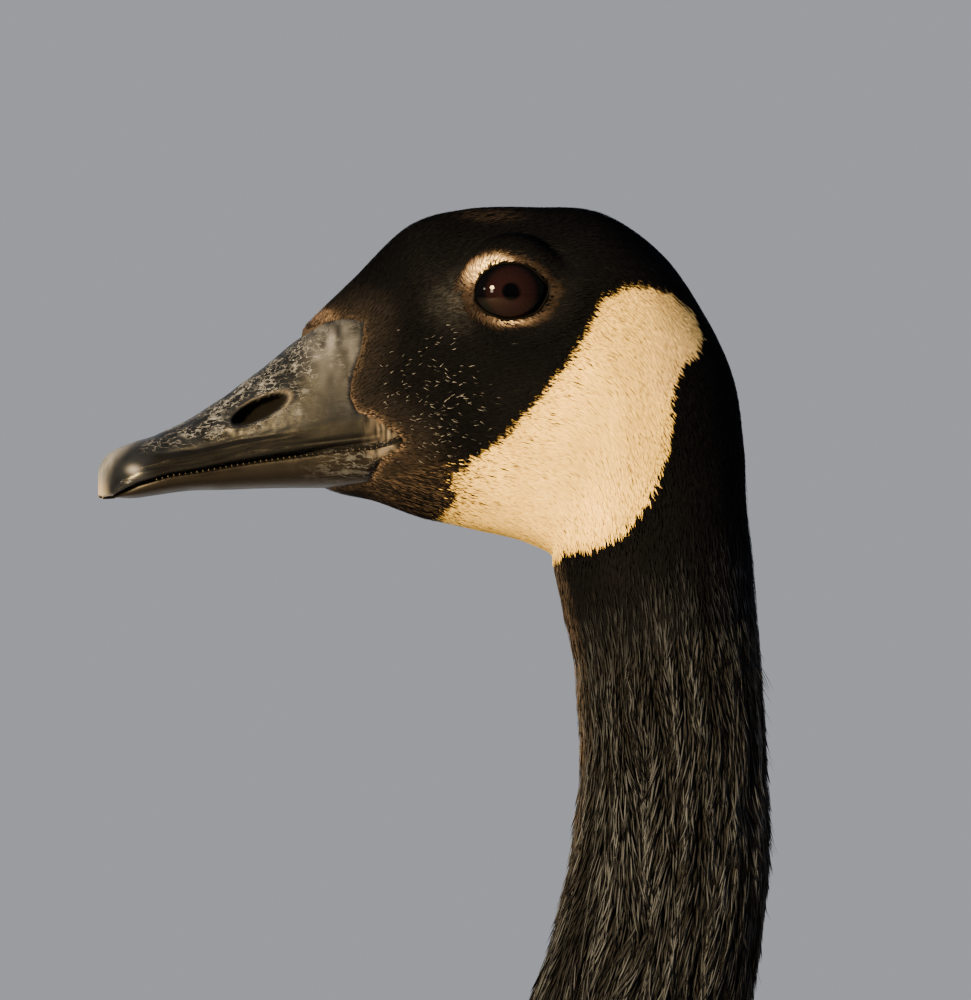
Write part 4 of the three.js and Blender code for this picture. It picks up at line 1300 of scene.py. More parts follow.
@dataclass(frozen=True)
class PlateRow:
    """Small raised plates repeated along lines, as scutes on a leg or the comb of a bill.

    The size is along the line, across it and outwards, in millimetres.
    """

    spacing: float
    size: Triple
    tint: Triple
    seed: int = 3

    def build(self, name: str, lines: list[tuple[Array, Array, Array]], finish: Finish, slot: Slot) -> None:
        """Make the plates along some lines.

        Args:
            name: the piece's name.
            lines: points in millimetres, outward directions and a size factor for each point, line by line.
            finish: the plates' finish.
            slot: the record's slot.
        """
        mesh = bpy.data.meshes.new(name)
        points = np.concatenate([line[0] for line in lines])
        steps = np.cumsum([0] + [len(line[0]) for line in lines])
        edges = [(k, k + 1) for first, last in zip(steps, steps[1:]) for k in range(first, last - 1)]
        mesh.from_pydata(in_frame(points).tolist(), edges, [])
        outward = np.concatenate([line[1] for line in lines]).astype(np.float32)
        mesh.attributes.new("outward", "FLOAT_VECTOR", "POINT").data.foreach_set("vector", outward.ravel())
        factor = np.concatenate([line[2] for line in lines]).astype(np.float32)
        mesh.attributes.new("factor", "FLOAT", "POINT").data.foreach_set("value", factor)
        piece = bpy.data.objects.new(name, mesh)
        bpy.context.scene.collection.objects.link(piece)
        modifier = piece.modifiers.new("plates", "NODES")
        modifier.node_group = self.tree()
        values = {"Spacing": self.spacing * MM, "Size": tuple(value * MM for value in self.size),
                  "Tint": (*tone(*self.tint), 1), "Seed": self.seed, "Material": finish.material}
        for item in modifier.node_group.interface.items_tree:
            if item.in_out == "INPUT" and item.name in values:
                modifier[item.identifier] = values[item.name]
        made = bpy.data.meshes.new_from_object(piece.evaluated_get(bpy.context.evaluated_depsgraph_get()))
        made.materials.pop(index=0)  # the empty one that the plate began with
        piece.modifiers.clear()
        piece.data = made
        enrolled(piece, slot)

    @staticmethod
    @cache
    def tree() -> Tree:
        """The node tree that repeats a rounded plate along every line.

        Returns:
            The tree.
        """
        group = bpy.data.node_groups.new("PlatesAlongLines", "GeometryNodeTree")
        n = Nodes(group)
        kinds = (("Geometry", "Geometry"), ("Spacing", "Float"), ("Size", "Vector"), ("Tint", "Color"),
                 ("Seed", "Int"), ("Material", "Material"))
        for title, kind in kinds:
            group.interface.new_socket(title, in_out="INPUT", socket_type=f"NodeSocket{kind}")
        group.interface.new_socket("Geometry", in_out="OUTPUT", socket_type="NodeSocketGeometry")
        given = n.add("NodeGroupInput").outputs
        curve = n.add("GeometryNodeMeshToCurve", Mesh=given["Geometry"]).outputs[0]
        apart = given["Spacing"]
        even = n.add("GeometryNodeResampleCurve", {"mode": "LENGTH"}, Curve=curve, Length=apart).outputs[0]
        outward, factor = (
            n.add("GeometryNodeInputNamedAttribute", {"data_type": kind}, Name=title).outputs[0]
            for title, kind in (("outward", "FLOAT_VECTOR"), ("factor", "FLOAT"))
        )
        tangent = n.add("GeometryNodeInputTangent").outputs[0]
        turn = n.add("FunctionNodeAxesToRotation", {"primary_axis": "Z", "secondary_axis": "X"},
                     Primary_Axis=outward, Secondary_Axis=tangent).outputs[0]
        vary = n.add("FunctionNodeRandomValue", {"data_type": "FLOAT"}, i2=0.75, i3=1.1, Seed=given["Seed"])
        size = n.scaled(given["Size"], n.times(factor, vary.outputs[1]))
        plate = n.add("GeometryNodeMeshIcoSphere", Radius=0.5, Subdivisions=2).outputs[0]
        placed = n.add("GeometryNodeInstanceOnPoints", Points=even, Instance=plate, Rotation=turn, Scale=size)
        real = n.add("GeometryNodeRealizeInstances", Geometry=placed.outputs[0]).outputs[0]
        tinted = n.add("GeometryNodeStoreNamedAttribute", {"data_type": "FLOAT_COLOR", "domain": "POINT"},
                       Geometry=real, Name="tint", Value=given["Tint"]).outputs[0]
        smoothed = n.add("GeometryNodeSetShadeSmooth", Geometry=tinted).outputs[0]
        dressed = n.add("GeometryNodeSetMaterial", Geometry=smoothed, Material=given["Material"]).outputs[0]
        n.add("NodeGroupOutput", Geometry=dressed)
        return group


# Sub-assemblies.
@dataclass
class Skin:
    """One skin under the plumage, from the bill's base to the rump, without a seam."""

    sides: int = 112
    step: float = 0.055
    body_step: float = 0.11
    head_ends: float = 13.0
    depths: ClassVar[Table] = (
        (0, 0.4), (8, 0.45), (12, 0.6), (15, 1.2), (19, 2), (22, 3.5), (30, 3.5), (35, 2.5),
    )

    @classmethod
    def depth(cls, at: Array, place: Array) -> Array:
        """How deep the skin lies under the plumage's surface, least at the lids."""
        beyond = np.where(place[..., 2] > 700, EYE.around(place[..., 1:3])[0], 99)
        return read(cls.depths, at) * (0.5 + 0.5 * smooth(0.4, 3, beyond))

    def build(self) -> None:
        """Make the skin and let it stand for the solids of flesh."""
        last = BODY_SPAN[1]
        head, body = np.arange(0, self.head_ends, self.step), np.arange(self.head_ends, last, self.body_step)
        stations = np.concatenate([head, body, [last]])
        at, angle = np.meshgrid(stations, circle(self.sides), indexing="ij")
        rings = self.tucked(BODY.point(at, angle, -self.depth(at, BODY.plain(at, angle))))
        tint = MARKINGS.skin(at.ravel(), angle.ravel(), rings.reshape(-1, 3))
        shape = tube(rings, tint=tint.reshape(rings.shape))
        shape.build("skin", SKIN_FINISH.material, Slot.BLACK, "head", "neck_upper", "neck_lower", "torso")

    @staticmethod
    def tucked(rings: Array) -> Array:
        """Turn the skin in under the bill's base and behind the eyes.

        Args:
            rings: The rings of places.

        Returns:
            The same rings, moved.
        """
        flat = rings.reshape(-1, 3).copy()
        ahead = smooth(0.2, 2.6, -behind_feather_line(flat[:, 1:3])) * (flat[:, 1] < 75)
        axis = np.stack([np.zeros(len(flat)), flat[:, 1], read(MOUTH_LINE, flat[:, 1]) + 6], axis=-1)
        flat += (axis - flat) * (0.45 * ahead)[:, None]
        beyond, _ = EYE.around(flat[:, 1:3])
        near = (1 - smooth(-1.3, 0.1, beyond)) * (flat[:, 2] > 700)
        flat[:, 0] -= np.sign(flat[:, 0]) * 6.5 * near
        return flat.reshape(rings.shape)


@dataclass
class Eyes:
    """Both eyes and the bare dark edges of their lids."""

    rings: int = 56
    sides: int = 96
    rim: float = 0.3
    iris: Triple = (20, 10, 12)

    def build(self) -> None:
        """Make the eyeballs and the lids' edges."""
        ball, lid = self.ball(), self.lid()
        for side in Side:
            ball.on(side).build(f"eyeball_{side.tag}", EYE_FINISH.material, Slot.EYE, f"eye_{side.tag}")
            lid.on(side).build(f"lid_edge_{side.tag}", LID_FINISH.material, Slot.BLACK)

    def ball(self) -> Shape:
        """The left eyeball, with its pupil and iris facing out.

        Returns:
            The shape.
        """
        poles = (0.004, np.pi - 0.004)
        across, around = np.meshgrid(np.linspace(*poles, self.rings), circle(self.sides), indexing="ij")
        rings = np.stack([
            EYE.apex - EYE.half[0] * (1 - np.cos(across)),
            EYE.back + EYE.half[1] * np.sin(across) * np.cos(around),
            EYE.up + EYE.half[2] * np.sin(across) * np.sin(around),
        ], axis=-1)
        far = np.hypot(rings[..., 1] - EYE.back - 0.2, rings[..., 2] - EYE.up + 0.2)
        fibres = 0.5 + 0.5 * np.sin(around * 53 + 3 * np.sin(around * 7))
        iris = tone(*self.iris) * (0.85 + 0.3 * fibres[..., None]) * (1.2 - 0.1 * far[..., None])
        tint = blend(BLACK * 0.1, iris, smooth(EYE.pupil - 0.2, EYE.pupil + 0.35, far))
        return tube(rings, tint=blend(tint, BLACK * 0.35, smooth(EYE.iris - 0.7, EYE.iris + 0.5, far)))

    def lid(self) -> Shape:
        """The bare edge of the left lids, which meets the ball and sits on the skin.

        Returns:
            The shape.
        """
        around = np.linspace(-np.pi, np.pi, 144, endpoint=False)
        turn = circle(12)
        radius = EYE.radius(around)[:, None] + 0.1 + self.rim * np.sin(turn)
        rings = np.stack([
            EYE.lid_out(around)[:, None] + 0.1 + self.rim * 0.8 * np.cos(turn),
            EYE.back + radius * np.cos(around)[:, None],
            EYE.up + radius * np.sin(around)[:, None],
        ], axis=-1)
        grid = np.arange(rings.size // 3).reshape(rings.shape[:2])
        onward, turned = np.roll(grid, -1, axis=0), np.roll(grid, -1, axis=1)
        quads = np.stack([grid, turned, np.roll(onward, -1, axis=1), onward], axis=-1).reshape(-1, 4)
        return Shape(rings.reshape(-1, 3), [quads], {"tint": np.tile(tone(5, 5, 5), (grid.size, 1))})


class SideTable:
    """How far out a hull's left side is, at places seen from the side."""

    def __init__(self, hull: Hull, span: Pair, corner: Pair, size: tuple[int, int]) -> None:
        """Sample the hull on a grid of half millimetres.

        Args:
            hull: the hull.
            span: its first and last station.
            corner: the lowest back and up of the grid.
            size: the grid's steps back and up.
        """
        self.corner, self.size = np.array(corner), np.array(size)
        grid = np.meshgrid(np.linspace(*span, 700), np.linspace(0.02, np.pi - 0.02, 700), indexing="ij")
        places = hull.plain(*grid).reshape(-1, 3)
        cells = ((places[:, 1:] - corner) * 2).astype(int)
        kept = np.all((cells >= 0) & (cells < self.size), axis=1)
        self.out = np.zeros(size)
        np.maximum.at(self.out, tuple(cells[kept].T), places[kept, 0])

    def at(self, places: Array) -> Array:
        """How far out the hull is at (back, up) rows, or 0 outside it.

        Args:
            places: Places seen from the side.

        Returns:
            The half width in mm.
        """
        spot = np.clip((places - self.corner) * 2 - 0.5, 0, self.size - 2)
        cell, part = spot.astype(int), spot % 1
        total = 0
        for i in (0, 1):
            for j in (0, 1):
                share = np.abs(1 - i - part[..., 0]) * np.abs(1 - j - part[..., 1])
                total = total + share * self.out[cell[..., 0] + i, cell[..., 1] + j]
        return total


@dataclass
class Bill:
    """The upper and lower bill, with nail, nostrils, smooth band, worn horn and comb."""

    nostril: Pair = (35.2, 695.9)
    nostril_half: Pair = (6.4, 2.1)
    nostril_tilt: float = 0.45
    nostril_depth: float = 5.0
    lower_gap: float = 0.12

    def build(self) -> None:
        """Make both halves and the comb along the mouth."""
        for upper, name in ((True, "bill_upper"), (False, "bill_lower")):
            self.half(upper).build(f"{name}_horn", HORN_FINISH.material, Slot.HORN, name)
        back = np.linspace(13, 62, 60)
        _, _, _, half, _ = through(np.array(BILL_LINES), self.station(back)).T
        lines = []
        for side in Side:
            points = np.stack([side.value * half * 0.96, back, read(MOUTH_LINE, back) - 0.1], axis=-1)
            lines.append((points, np.tile((side.value, 0, 0), (60, 1)), np.ones(60)))
        comb = PlateRow(spacing=1.25, size=(0.3, 0.45, 0.26), tint=(46, 39, 31))
        comb.build("bill_comb", lines, CLAW_FINISH, Slot.HORN)

    @staticmethod
    def station(back: Array) -> Array:
        """The fractional row of the bill's table at some lengths."""
        table = np.array(BILL_LINES)[:, 0]
        return np.interp(back, table, np.arange(len(table)))

    def nostril_reach(self, places: Array) -> Array:
        """How many half-lengths of the nostril away (x, back, up) places are, seen from the side.

        Args:
            places: Places in mm.

        Returns:
            The distance, 1 at its edge.
        """
        back, up = places[..., 1] - self.nostril[0], places[..., 2] - self.nostril[1]
        c, s = math.cos(self.nostril_tilt), math.sin(self.nostril_tilt)
        length, height = self.nostril_half
        return np.hypot((back * c + up * s) / length, (up * c - back * s) / height)

    def half(self, upper: bool) -> Shape:
        """One half of the bill.

        Args:
            upper: whether it is the upper half.

        Returns:
            Its shape, with its colours and a mask of where the horn is worn rough.
        """
        count, sides = (270, 160) if upper else (190, 110)
        at = np.linspace(0, 1, count) ** 1.2 * (len(BILL_LINES) - 1)
        back, culmen, low, half_upper, half_lower = through(np.array(BILL_LINES), at).T[:, :, None]
        angle = circle(sides)[None]
        mouth = read(MOUTH_LINE, back)
        c, s = np.cos(angle), np.sin(angle)
        rise, fall = np.maximum(c, 0), np.maximum(-c, 0)
        if upper:
            widest = mouth + 0.2 * (culmen - mouth)
            pinch = 1.25 - 0.35 * np.minimum(back / 60, 1)
            height = widest + (culmen - widest) * rise**pinch - (widest - mouth + 0.05) * fall**0.3
            height = height + 0.9 * smooth(0.75, 0.95, fall)
            x = half_upper * np.sign(s) * np.abs(s) ** 0.9
        else:
            rim = mouth - self.lower_gap
            height = rim - 0.5 + (0.5 + 1.1 * smooth(0.6, 0.9, rise)) * rise**0.5
            height = height - (rim - 0.5 - low) * fall**0.7
            x = half_lower * np.sign(s) * np.abs(s) ** 0.8
        rings = np.stack([x, np.broadcast_to(back, x.shape), height], axis=-1)
        rings = self.dressed(rings, upper)
        face = SideTable(BODY, (0, 6), (30, 665), (110, 150)).at(rings[..., 1:])
        wide = np.abs(rings[..., 0])
        grown = wide + np.maximum(face + 0.1 - wide, 0) * smooth(40, 48, back)
        tucked = np.minimum(grown, np.maximum(face - 1.2, 0))
        sunk = smooth(-0.1, 0.7, behind_feather_line(rings[..., 1:].reshape(-1, 2)).reshape(wide.shape))
        rings[..., 0] = np.sign(rings[..., 0]) * (grown + (tucked - grown) * sunk)
        tint, worn, rough = self.colours(rings, upper)
        if not upper:
            # Painted shade: the lower bill's top, inside the closed mouth, is coloured near black and rough.
            inner = smooth(0.02, 0.2, rise) * np.ones_like(x)
            tint, rough = blend(tint, BLACK * 0.5, inner), rough + (0.9 - rough) * inner
        return tube(rings, tint=tint, worn=worn, rough=rough)

    def dressed(self, rings: Array, upper: bool) -> Array:
        """Add the nail's edge, the band, the nostrils and the flaking to the plain form.

        Args:
            rings: The rings of places.
            upper: True for the upper half.

        Returns:
            The rings with their relief.
        """
        out = rings.copy()
        back, up = rings[..., 1], rings[..., 2]
        centre = np.stack([np.zeros_like(back), back, read(MOUTH_LINE, back) + (4 if upper else -2)], axis=-1)
        away = unit(rings - centre)
        worn = self.worn(rings, upper)
        lift = 0.14 * worn * wander(rings, 0.8, 11) + 0.1 * worn * wander(rings * (1, 0.5, 1), 2.2, 12)
        if upper:
            band, groove = read(BAND_LINE, back), read(GROOVE_LINE, back)
            lift -= 0.3 * np.exp(-(((up - band) / 0.45) ** 2)) * smooth(11, 18, back)
            lift -= 0.4 * np.exp(-(((up - groove) / 0.3) ** 2)) * smooth(8, 13, back)
            lift += 0.35 * np.exp(-(((up - (band + groove) / 2) / 1.1) ** 2)) * smooth(11, 18, back)
            nail = self.nail(rings)
            lift += 0.14 * smooth(-0.2, 0.2, nail) - 0.06 * np.exp(-((nail / 0.1) ** 2))
            reach = self.nostril_reach(rings)
            lift += 0.3 * np.exp(-(((reach - 1.2) / 0.14) ** 2))
            out[..., 0] -= np.sign(rings[..., 0]) * self.nostril_depth * (1 - smooth(0.78, 1.08, reach))
            gape = smooth(58, 62, back) * (1 - smooth(2.5, 6, up - read(MOUTH_LINE, back)))
            lift += 0.12 * gape * np.sin(back * 7 + 9 * wander(rings * (1, 1, 0.6), 2.6, 15))
        return out + away * lift[..., None]

    def nail(self, places: Array) -> Array:
        """How far inside the nail's oval places are, from its edge at 0."""
        return 1 - np.hypot((places[..., 1] - 1) / 9.5, places[..., 0] / 6.4)

    def worn(self, places: Array, upper: bool) -> Array:
        """Where the horn is worn and flaking, from 0 to 1.

        Args:
            places: Places in mm.
            upper: True for the upper half.

        Returns:
            The share of wear.
        """
        back, up = places[..., 1], places[..., 2]
        if not upper:
            return 0.25 * smooth(40, 60, back)
        high = smooth(0.3, 2.4, up - read(BAND_LINE, back)) * smooth(7, 15, back)
        smooth_side = spot(back, up, (52, 697), (9, 8))
        high = high * (1 - 0.7 * smooth(44, 51, back + 3 * wander(places, 4, 25)))
        return high * (1 - 0.85 * smooth_side) * (0.75 + 0.35 * wander(places, 6, 9))

    def colours(self, rings: Array, upper: bool) -> tuple[Array, Array, Array]:
        """The horn's colours, its worn places and its roughness.

        Args:
            rings: The rings of places.
            upper: True for the upper half.

        Returns:
            The colours, the wear and the roughness.
        """
        worn = self.worn(rings, upper)
        back, up = rings[..., 1], rings[..., 2]
        cloud = 0.5 + 0.5 * wander(rings, 5, 13) + 0.4 * wander(rings, 1.6, 19)
        horn = blend(tone(8, 10, 14), tone(23, 26, 33), np.clip(cloud, 0, 1))
        rough = 0.34 + 0.08 * wander(rings, 3, 16)
        if upper:
            base = smooth(42, 52, back)
            horn = blend(horn, tone(21, 24, 31), 0.7 * base * smooth(690, 702, up))
            streak = np.clip(1.4 * wander(rings * (1, 1, 0.25), 0.7, 22), 0, 1)
            horn = blend(horn, BLACK * 0.6, 0.6 * streak * base)
            pale = spot(back, up, (51, 709.5), (5, 6))
            pale = pale * np.clip(0.5 + 0.7 * wander(rings * (1, 1, 0.6), 1.7, 20), 0, 1)
            horn = blend(horn, tone(86, 89, 98), pale)
            rough = rough + 0.3 * base
            nail = smooth(-0.15, 0.5, self.nail(rings))
            horn = blend(horn, tone(104, 108, 118), nail * (0.7 + 0.3 * wander(rings * (1, 1, 0.4), 1.1, 17)))
            horn = blend(horn, tone(150, 140, 124), 0.75 * nail * (1 - smooth(678, 683, up + 0.8 * back)))
            # Painted highlight: a small pale spot on the side of the nail.
            horn = blend(horn, tone(136, 139, 150), 0.6 * spot(back, up, (7.9, 682.9), (1.3, 0.9)))
            band = smooth(-0.4, 0.3, read(BAND_LINE, back) - up) * smooth(9, 14, back)
            horn = blend(horn, tone(9, 9, 9), 0.85 * band * (1 - nail))
            rough = rough * (1 - 0.35 * band) * (1 - 0.45 * (1 - smooth(8, 18, back)))
            reach = self.nostril_reach(rings)
            # A pale rim round the nostril, on its upper side only: partly paler horn, partly a painted
            # highlight.
            rim = 0.4 * np.exp(-(((reach - 1.18) / 0.1) ** 2)) * smooth(694, 699, up)
            horn = blend(horn, tone(100, 94, 88), rim)
            # Painted shade: the nostril's hollow is coloured near black and made rough.
            pit = 1 - smooth(0.93, 1.04, reach)
            horn, rough = blend(horn, tone(4, 4, 4), pit), rough + (1 - rough) * pit
            worn = worn * smooth(1.0, 1.25, reach)
        else:
            horn = blend(horn, tone(12, 9, 7), 0.9)
        # The gape's pale skin, with painted highlights on its fold ridges and painted shade in the folds, in
        # step with the folds' relief.
        gape = smooth(57, 62, back) * smooth(684, 687, up) * (1 - smooth(694, 697, up))
        crease = 0.5 + 0.5 * np.sin(back * 7 + 9 * wander(rings * (1, 1, 0.6), 2.6, 15))
        horn = blend(horn, tone(122, 114, 106), 0.7 * gape * crease * (0.6 + 0.5 * wander(rings, 1.5, 18)))
        return horn, worn, rough + 0.25 * gape


@dataclass
class HeadCoat:
    """The short velvet of the head and the streaky locks of the neck."""

    short: Table = ((0.4, 1),)
    long: Table = ((0.22, 0.85), (0.62, 1))
    head_ends: float = 12.6
    neck_ends: float = 19.9
    per_piece: tuple[int, int] = (33000, 16500)
    spacings: Table = (
        (0, 0.375), (3, 0.395), (8, 0.44), (12, 0.54), (13.5, 0.75), (16, 1), (18, 1.32), (20, 1.95),
    )
    lengths: Table = ((0, 1.7), (3, 2.4), (8, 3.2), (12, 4.6), (13.5, 7), (16, 10), (18, 12), (20, 14))
    halves: Table = (
        (0, 0.157), (4, 0.178), (8, 0.2), (12, 0.255), (13.5, 0.325), (16, 0.455), (18, 0.65), (20, 1.15),
    )
    heights: Table = ((0, 0.03), (8, 0.05), (12, 0.1), (16, 0.2), (19, 0.6), (20, 1.6))

    def spacing(self, at: Array, _angle: Array) -> Array:
        """The distance between tufts: finest on the face, wider down the neck."""
        return read(self.spacings, at) * 1.0

    def build(self) -> None:
        """Make the tufts of the head, the locks of the neck and a few stray ones."""
        roots = scatter(BODY, (0, self.neck_ends), self.spacing, 5)
        place = BODY.point(roots.at, roots.angle)
        beyond, _ = EYE.around(place[:, 1:3])
        off_eye = (beyond > 0.2) | (place[:, 2] < 700)
        roots = roots.kept((behind_feather_line(place[:, 1:3]) > 0.05) & off_eye)
        roots = roots.kept(np.argsort(roots.at))
        draw = np.random.default_rng(9)
        for name, kept, profile, finish, most in (
            ("head", roots.at < self.head_ends, self.short, TUFT_FINISH, self.per_piece[0]),
            ("neck", roots.at >= self.head_ends, self.long, LOCK_FINISH, self.per_piece[1]),
        ):
            part = roots.kept(kept)
            for number, first in enumerate(range(0, len(part.at), most)):
                tufts = self.tufts(part.kept(slice(first, first + most)), draw)
                tufts.shape(profile).build(f"plumage_{name}_{number + 1}", finish.material, Slot.BLACK)
        self.stray(draw)

    def tufts(self, roots: Roots, draw: np.random.Generator) -> Tufts:
        """Shape and colour the tufts at some roots.

        Args:
            roots: where they grow.
            draw: random numbers.

        Returns:
            The tufts.
        """
        at, angle = roots.at, roots.angle
        place = BODY.point(at, angle)
        along, around, outward = BODY.slopes(at, angle)
        count = len(at)
        chance = draw.random(count)
        neck = smooth(10.2, 14.6, at)
        strand = draw.random(count) < 0.22 * smooth(10, 12.8, at)
        fleck = MARKINGS.flecks(place, chance)
        ridge = furrow(angle, place)
        slope = (furrow(angle + 0.03, place) - furrow(angle - 0.03, place)) / 0.06
        border = 1 - smooth(1, 4.5, np.abs(inside(CHEEK_PATCH, place[:, 1:3])))
        spread = np.interp(at, [0, 12, 20], [0.07, 0.06, 0.1]) * np.where(strand, 0.8, 1)
        spread = spread + 0.4 * fleck + 0.16 * border
        sway = draw.normal(0, 1, count) * spread
        bend = wander(place * (1, 1, 0.5), 7, 21)
        sway += neck * (0.16 * np.clip(slope / 6, -1, 1) + 0.2 * bend)
        ahead = unit(unit(along) + unit(around) * sway[:, None])
        beyond, _ = EYE.around(place[:, 1:3])
        beyond = np.where(place[:, 2] > 700, beyond, 99)
        ahead = self.round_the_eye(place, ahead, outward, beyond)
        edge = (0.4 + 0.6 * smooth(0, 4, behind_feather_line(place[:, 1:3]))) * np.where(fleck, 0.65, 1)
        edge = edge * (0.4 + 0.6 * smooth(0.4, 5, beyond))
        length = read(self.lengths, at) * (edge * (0.75 + 0.5 * draw.random(count)) * (1 - 0.15 * strand))
        half = read(self.halves, at)
        half = np.where(strand, np.minimum(half * 0.6, 0.2), half)
        half *= (0.7 + 0.6 * draw.random(count)) * np.where(fleck, 0.3, 1)
        length, half = length * (1 - 0.45 * border), half * (1 - 0.35 * border)
        tint = MARKINGS.face(place, chance)
        dark = tint.mean(axis=1) < 0.05
        # Painted sheen on the neck: pale tips and strands, strongest on the furrows' ridges; locks in the
        # grooves are painted darker as shade.
        shine = np.where(strand, np.maximum(neck, 0.3 * smooth(10, 12.8, at)), neck)
        gloss = np.where(strand, 0.14 + 0.38 * draw.random(count), 0.14 * draw.random(count) ** 2) * shine
        gloss = np.where(dark, gloss * (0.55 + 0.45 * ridge), 0)
        tint = np.where(dark[:, None], tint * (0.75 + 0.25 * ridge * neck)[:, None], tint)
        tip_tint = blend(tint, SHEEN, gloss)
        tint = blend(tint, SHEEN, gloss * np.where(strand, 0.5, 0))
        low = np.where(strand, 0.05, -Skin.depth(at, place) - 0.1)
        high = read(self.heights, at) * (0.2 + 1.6 * draw.random(count))
        curl = (draw.normal(0, 0.04, count) * (1 + strand) - 0.12 * neck * bend) * length
        return Tufts(
            place, ahead, outward, length, half, thick=half * np.interp(at, [0, 12, 20], [0.18, 0.3, 0.3]),
            low=low, high=high + 0.15 * fleck + 0.25 * strand, curl=curl, tint=tint, tip_tint=tip_tint,
            bake=unwrapped(roots, BODY_SPAN), lean=0.55 * (at[0] < self.head_ends),
        )

    @staticmethod
    def round_the_eye(place: Array, ahead: Array, outward: Array, beyond: Array) -> Array:
        """Bend the lie of the face's feathers round the eye.

        Args:
            place: Places in mm.
            ahead: The way that the tufts lie.
            outward: The way off the skin.
            beyond: The distance from the lids' edge.

        Returns:
            The new way that they lie.
        """
        radial = np.stack([np.zeros(len(place)), place[:, 1] - EYE.back, place[:, 2] - EYE.up], axis=-1)
        radial = unit(radial - outward * dot(radial, outward)[:, None])
        near = 1 - smooth(0.5, 8, beyond)
        inward = np.minimum(dot(ahead, radial), 0)
        return unit(ahead - radial * (inward * near * 1.3)[:, None] + radial * (0.3 * near)[:, None])

    @staticmethod
    def stray(draw: np.random.Generator) -> None:
        """The few loose feathers that stand off the back of the neck.

        Args:
            draw: The random numbers.
        """
        at = np.concatenate([np.full(4, 13.15), np.full(2, 14.5), 12.8 + 4.5 * draw.random(22)])
        angle = np.concatenate([[0.25, 0.32, 0.2, 0.4], [0.3, 0.22], draw.normal(0.2, 0.9, 22)])
        place = BODY.point(at, angle)
        along, _, outward = BODY.slopes(at, angle)
        count = len(at)
        size = np.where(np.arange(count) < 6, 1.0, 0.6)
        tint = np.tile(BLACK * 1.3, (count, 1))
        roots = Roots(at, angle)
        tufts = Tufts(
            place, unit(unit(along) + 0.35 * outward), outward, length=8 * size, half=np.full(count, 0.28),
            thick=np.full(count, 0.1), low=np.full(count, -0.5), high=0.6 * size,
            curl=draw.normal(0, 0.8, count), tint=tint, tip_tint=tint * 1.5, bake=unwrapped(roots, BODY_SPAN),
        )
        tufts.shape(((0.2, 0.9), (0.6, 0.7))).build("plumage_stray", LOCK_FINISH.material, Slot.BLACK)


@dataclass
class BodyCoat:
    """The broad contour feathers of the breast, back, flanks, belly and rump."""

    span: Pair = (19.5, 34.6)
    spacings: Table = ((19, 2.8), (20.5, 3.8), (22, 5.4), (25, 7), (29, 7.6), (32, 6.4), (34.6, 5.6))
    form: VaneForm = VaneForm(camber=0.25, lean=0.2)

    def spacing(self, at: Array, _angle: Array) -> Array:
        """The distance between feathers: small at the neck and tail, broad on the trunk."""
        return read(self.spacings, at) * 1.0

    @staticmethod
    def beside_wing(at: Array, angle: Array) -> tuple[Array, Array, Array]:
        """Where places are beside the folded wing.

        Args:
            at: The station along the sections.
            angle: The angle from the back, in radians.

        Returns:
            The angle outside its edges, the angle from the back and the wing station.
        """
        fold = np.abs((angle + np.pi) % (2 * np.pi) - np.pi)
        on_mantle = np.clip(at - MANTLE_STARTS, 0, len(MANTLE_SECTIONS) - 1)
        upper, lower = wing_angle(on_mantle, 0.0), wing_angle(on_mantle, 1.0)
        return np.maximum(upper - fold, fold - lower), fold, on_mantle

    def cover(self, at: Array, angle: Array) -> Array:
        """How far the plumage stands off the body to lie over the folded wing's edges.

        Args:
            at: The station along the sections.
            angle: The angle from the back, in radians.

        Returns:
            The height in mm.
        """
        outside, fold, on_mantle = self.beside_wing(at, angle)
        below = BODY.plain(on_mantle + MANTLE_STARTS, fold)
        gap = np.linalg.norm(MANTLE.point(on_mantle, fold) - below, axis=-1) + 1.6
        return gap * (1 - smooth(-0.05, 0.4, outside)) * smooth(20.2, 21.2, at) * (1 - smooth(29.5, 31, at))

    def build(self) -> None:
        """Make the feathers, leaving out those that the wings hide."""
        roots = scatter(BODY, self.span, self.spacing, 21)
        outside, _, _ = self.beside_wing(roots.at, roots.angle)
        front = roots.at - MANTLE_STARTS < 1.3 - 0.4 * wander(BODY.plain(roots.at, roots.angle), 9, 51)
        roots = roots.kept((outside > -0.1) | front)
        under = np.abs(roots.angle) > math.radians(95)
        ahead = roots.at < 23.8
        groups = (("breast", ahead), ("back", ~ahead & ~under), ("belly", ~ahead & under))
        for name, which in groups:
            feathers = self.feathers(roots.kept(which))
            feathers.shape(self.form).build(f"plumage_{name}", VANE_FINISH.material, Slot.BODY)

    def feathers(self, roots: Roots) -> Feathers:
        """Shape and colour the feathers at some roots.

        Args:
            roots: Where they start.

        Returns:
            The feathers.
        """
        at, angle = roots.at, roots.angle
        count = len(at)
        draw = np.random.default_rng(count)
        chance = draw.random(count)
        along, around, _ = BODY.slopes(at, angle)
        size = self.spacing(at, angle)
        length = size * 3.3 * (0.85 + 0.3 * draw.random(count)) * (1 + 0.4 * smooth(31, 33, at))
        step = np.minimum(length / np.linalg.norm(along, axis=-1), np.maximum(BODY_SPAN[1] + 0.4 - at, 0.3))
        turn = draw.normal(0, 0.1, count) * length / np.linalg.norm(around, axis=-1)
        tip = Roots(at + step, angle + turn)
        tint, rim = MARKINGS.trunk(at, angle, BODY.plain(at, angle), chance)
        return Feathers(
            BODY, roots, tip, half=size * 0.72 * (0.85 + 0.3 * draw.random(count)),
            low=self.cover(at, angle) - 3.4,
            high=self.cover(tip.at, tip.angle) + 0.2 + 0.5 * draw.random(count),
            roll=draw.normal(0, 0.03, count), tint=tint, rim=rim, bake=unwrapped(roots, BODY_SPAN),
        )


